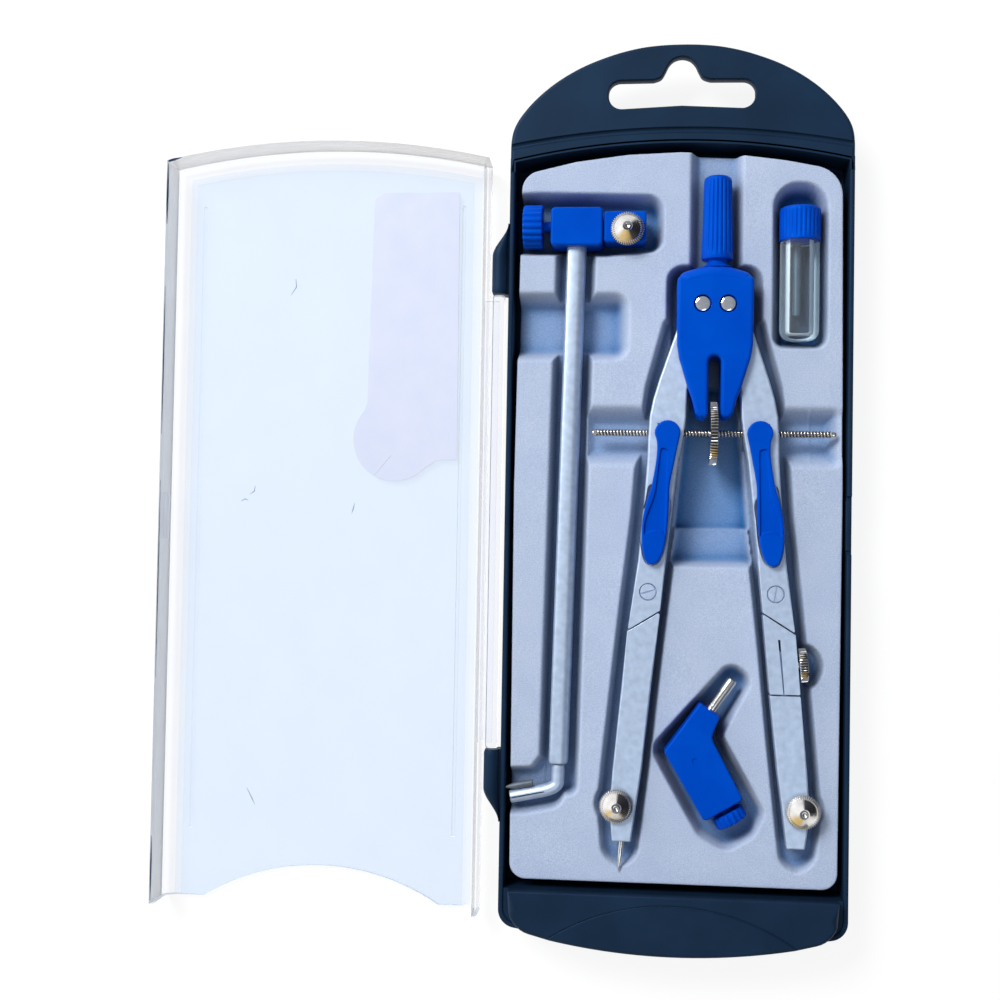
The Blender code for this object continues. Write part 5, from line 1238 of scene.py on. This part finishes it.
# --- studio -------------------------------------------------------------------------------------
def room_light():
    """A soft white room, brighter on the left, warm low on the foot side, and plain white to the camera."""
    bpy.context.scene.view_settings.view_transform = "Standard"
    world = bpy.data.worlds.new("studio")
    bpy.context.scene.world = world
    world.use_nodes = True
    tree = world.node_tree
    back = tree.nodes["Background"]
    split = tree.nodes.new("ShaderNodeSeparateXYZ")
    tree.links.new(tree.nodes.new("ShaderNodeTexCoord").outputs["Generated"], split.inputs[0])

    def ramp(value, *tones):
        made = tree.nodes.new("ShaderNodeValToRGB")
        while len(made.color_ramp.elements) < len(tones):
            made.color_ramp.elements.new(0.5)
        for element, (place, tone) in zip(made.color_ramp.elements, tones):
            element.position = place
            element.color = (*tone, 1)
        tree.links.new(value, made.inputs[0])
        return made.outputs[0]

    def halved(value):
        made = tree.nodes.new("ShaderNodeMath")
        made.operation = "MULTIPLY_ADD"
        made.inputs[1].default_value = made.inputs[2].default_value = 0.5
        tree.links.new(value, made.inputs[0])
        return made.outputs[0]

    def blend(amount, one, other):
        made = tree.nodes.new("ShaderNodeMixRGB")
        for value, slot in ((amount, 0), (one, 1), (other, 2)):
            tree.links.new(value, made.inputs[slot])
        return made.outputs[0]

    across, along, height = (halved(split.outputs[k]) for k in "XYZ")
    overhead = ramp(across, (0.0, (0.50, 0.52, 0.56)), (1.0, (0.20, 0.22, 0.26)))
    walls = ramp(across, (0.0, (1.3, 1.3, 1.32)), (0.45, (1.1, 1.1, 1.12)), (0.6, (0.06, 0.06, 0.07)),
                 (1.0, (0.02, 0.02, 0.025)))
    foot = ramp(across, (0.25, (0.95, 0.70, 0.30)), (0.6, (0.60, 0.42, 0.16)), (0.75, (0.05, 0.045, 0.04)))
    low_wall = ramp(along, (0.14, (1, 1, 1)), (0.36, (0, 0, 0)))
    rise = ramp(height, (0.66, (0, 0, 0)), (0.84, (1, 1, 1)))
    room = blend(rise, blend(low_wall, walls, foot), overhead)
    seen = tree.nodes.new("ShaderNodeMixRGB")
    seen.inputs[2].default_value = (0.97, 0.975, 0.98, 1)
    tree.links.new(tree.nodes.new("ShaderNodeLightPath").outputs["Is Camera Ray"], seen.inputs[0])
    tree.links.new(room, seen.inputs[1])
    tree.links.new(seen.outputs[0], back.inputs["Color"])
    back.inputs["Strength"].default_value = 0.95


def lamp(name, place, size, power, colour):
    """An area light aimed at the object."""
    data = bpy.data.lights.new(name, "AREA")
    data.shape = "RECTANGLE"
    data.size, data.size_y = size
    data.energy = power
    data.color = colour
    obj = bpy.data.objects.new(name, data)
    bpy.context.scene.collection.objects.link(obj)
    obj.location = place
    obj.rotation_euler = (-Vector(place)).to_track_quat("-Z", "Y").to_euler()


def ground():
    """A plain pale floor, just under the object."""
    mesh = bpy.data.meshes.new("floor")
    bm = bmesh.new()
    bmesh.ops.create_grid(bm, x_segments=4, y_segments=4, size=4.0)
    bm.to_mesh(mesh)
    bm.free()
    mesh.materials.append(floor_material())
    floor = bpy.data.objects.new("floor", mesh)
    floor.location = (0, 0, -0.0001)
    bpy.context.scene.collection.objects.link(floor)


def floor_material():
    look = Look("floor", roughness=0.8, specular_ior_level=0.0)
    look.set("Base Color", look.ramp(look.noise(60, 2), 0.3, 0.7, (0.125, 0.127, 0.13), (0.14, 0.142, 0.145)))
    look.shader.inputs["Emission Color"].default_value = (1.0, 1.0, 1.0, 1.0)
    look.shader.inputs["Emission Strength"].default_value = 0.875
    return look.material


def camera():
    data = bpy.data.cameras.new("camera")
    data.lens = 51.83
    data.sensor_width = 36
    data.clip_start = 0.01
    view = bpy.data.objects.new("camera", data)
    bpy.context.scene.collection.objects.link(view)
    place = at(-9.916, -5.582, 369.25)
    out = (place - at(-43.667, 6.238, 12.5)).normalized()
    right = Vector((-0.0174, 0.99985, 0)).cross(out).normalized()
    up = out.cross(right)
    turn = Matrix((right, up, out)).transposed().to_4x4()
    view.matrix_world = Matrix.Translation(place) @ turn
    bpy.context.scene.camera = view


dress_frame()
pieces()
room_light()
lamp("key", (-0.5, 0.6, 0.9), (0.5, 0.4), 14.0, (1.0, 0.985, 0.96))
lamp("fill", (0.25, -0.5, 1.0), (0.4, 0.4), 1.2, (0.85, 0.93, 1.0))
ground()
camera()
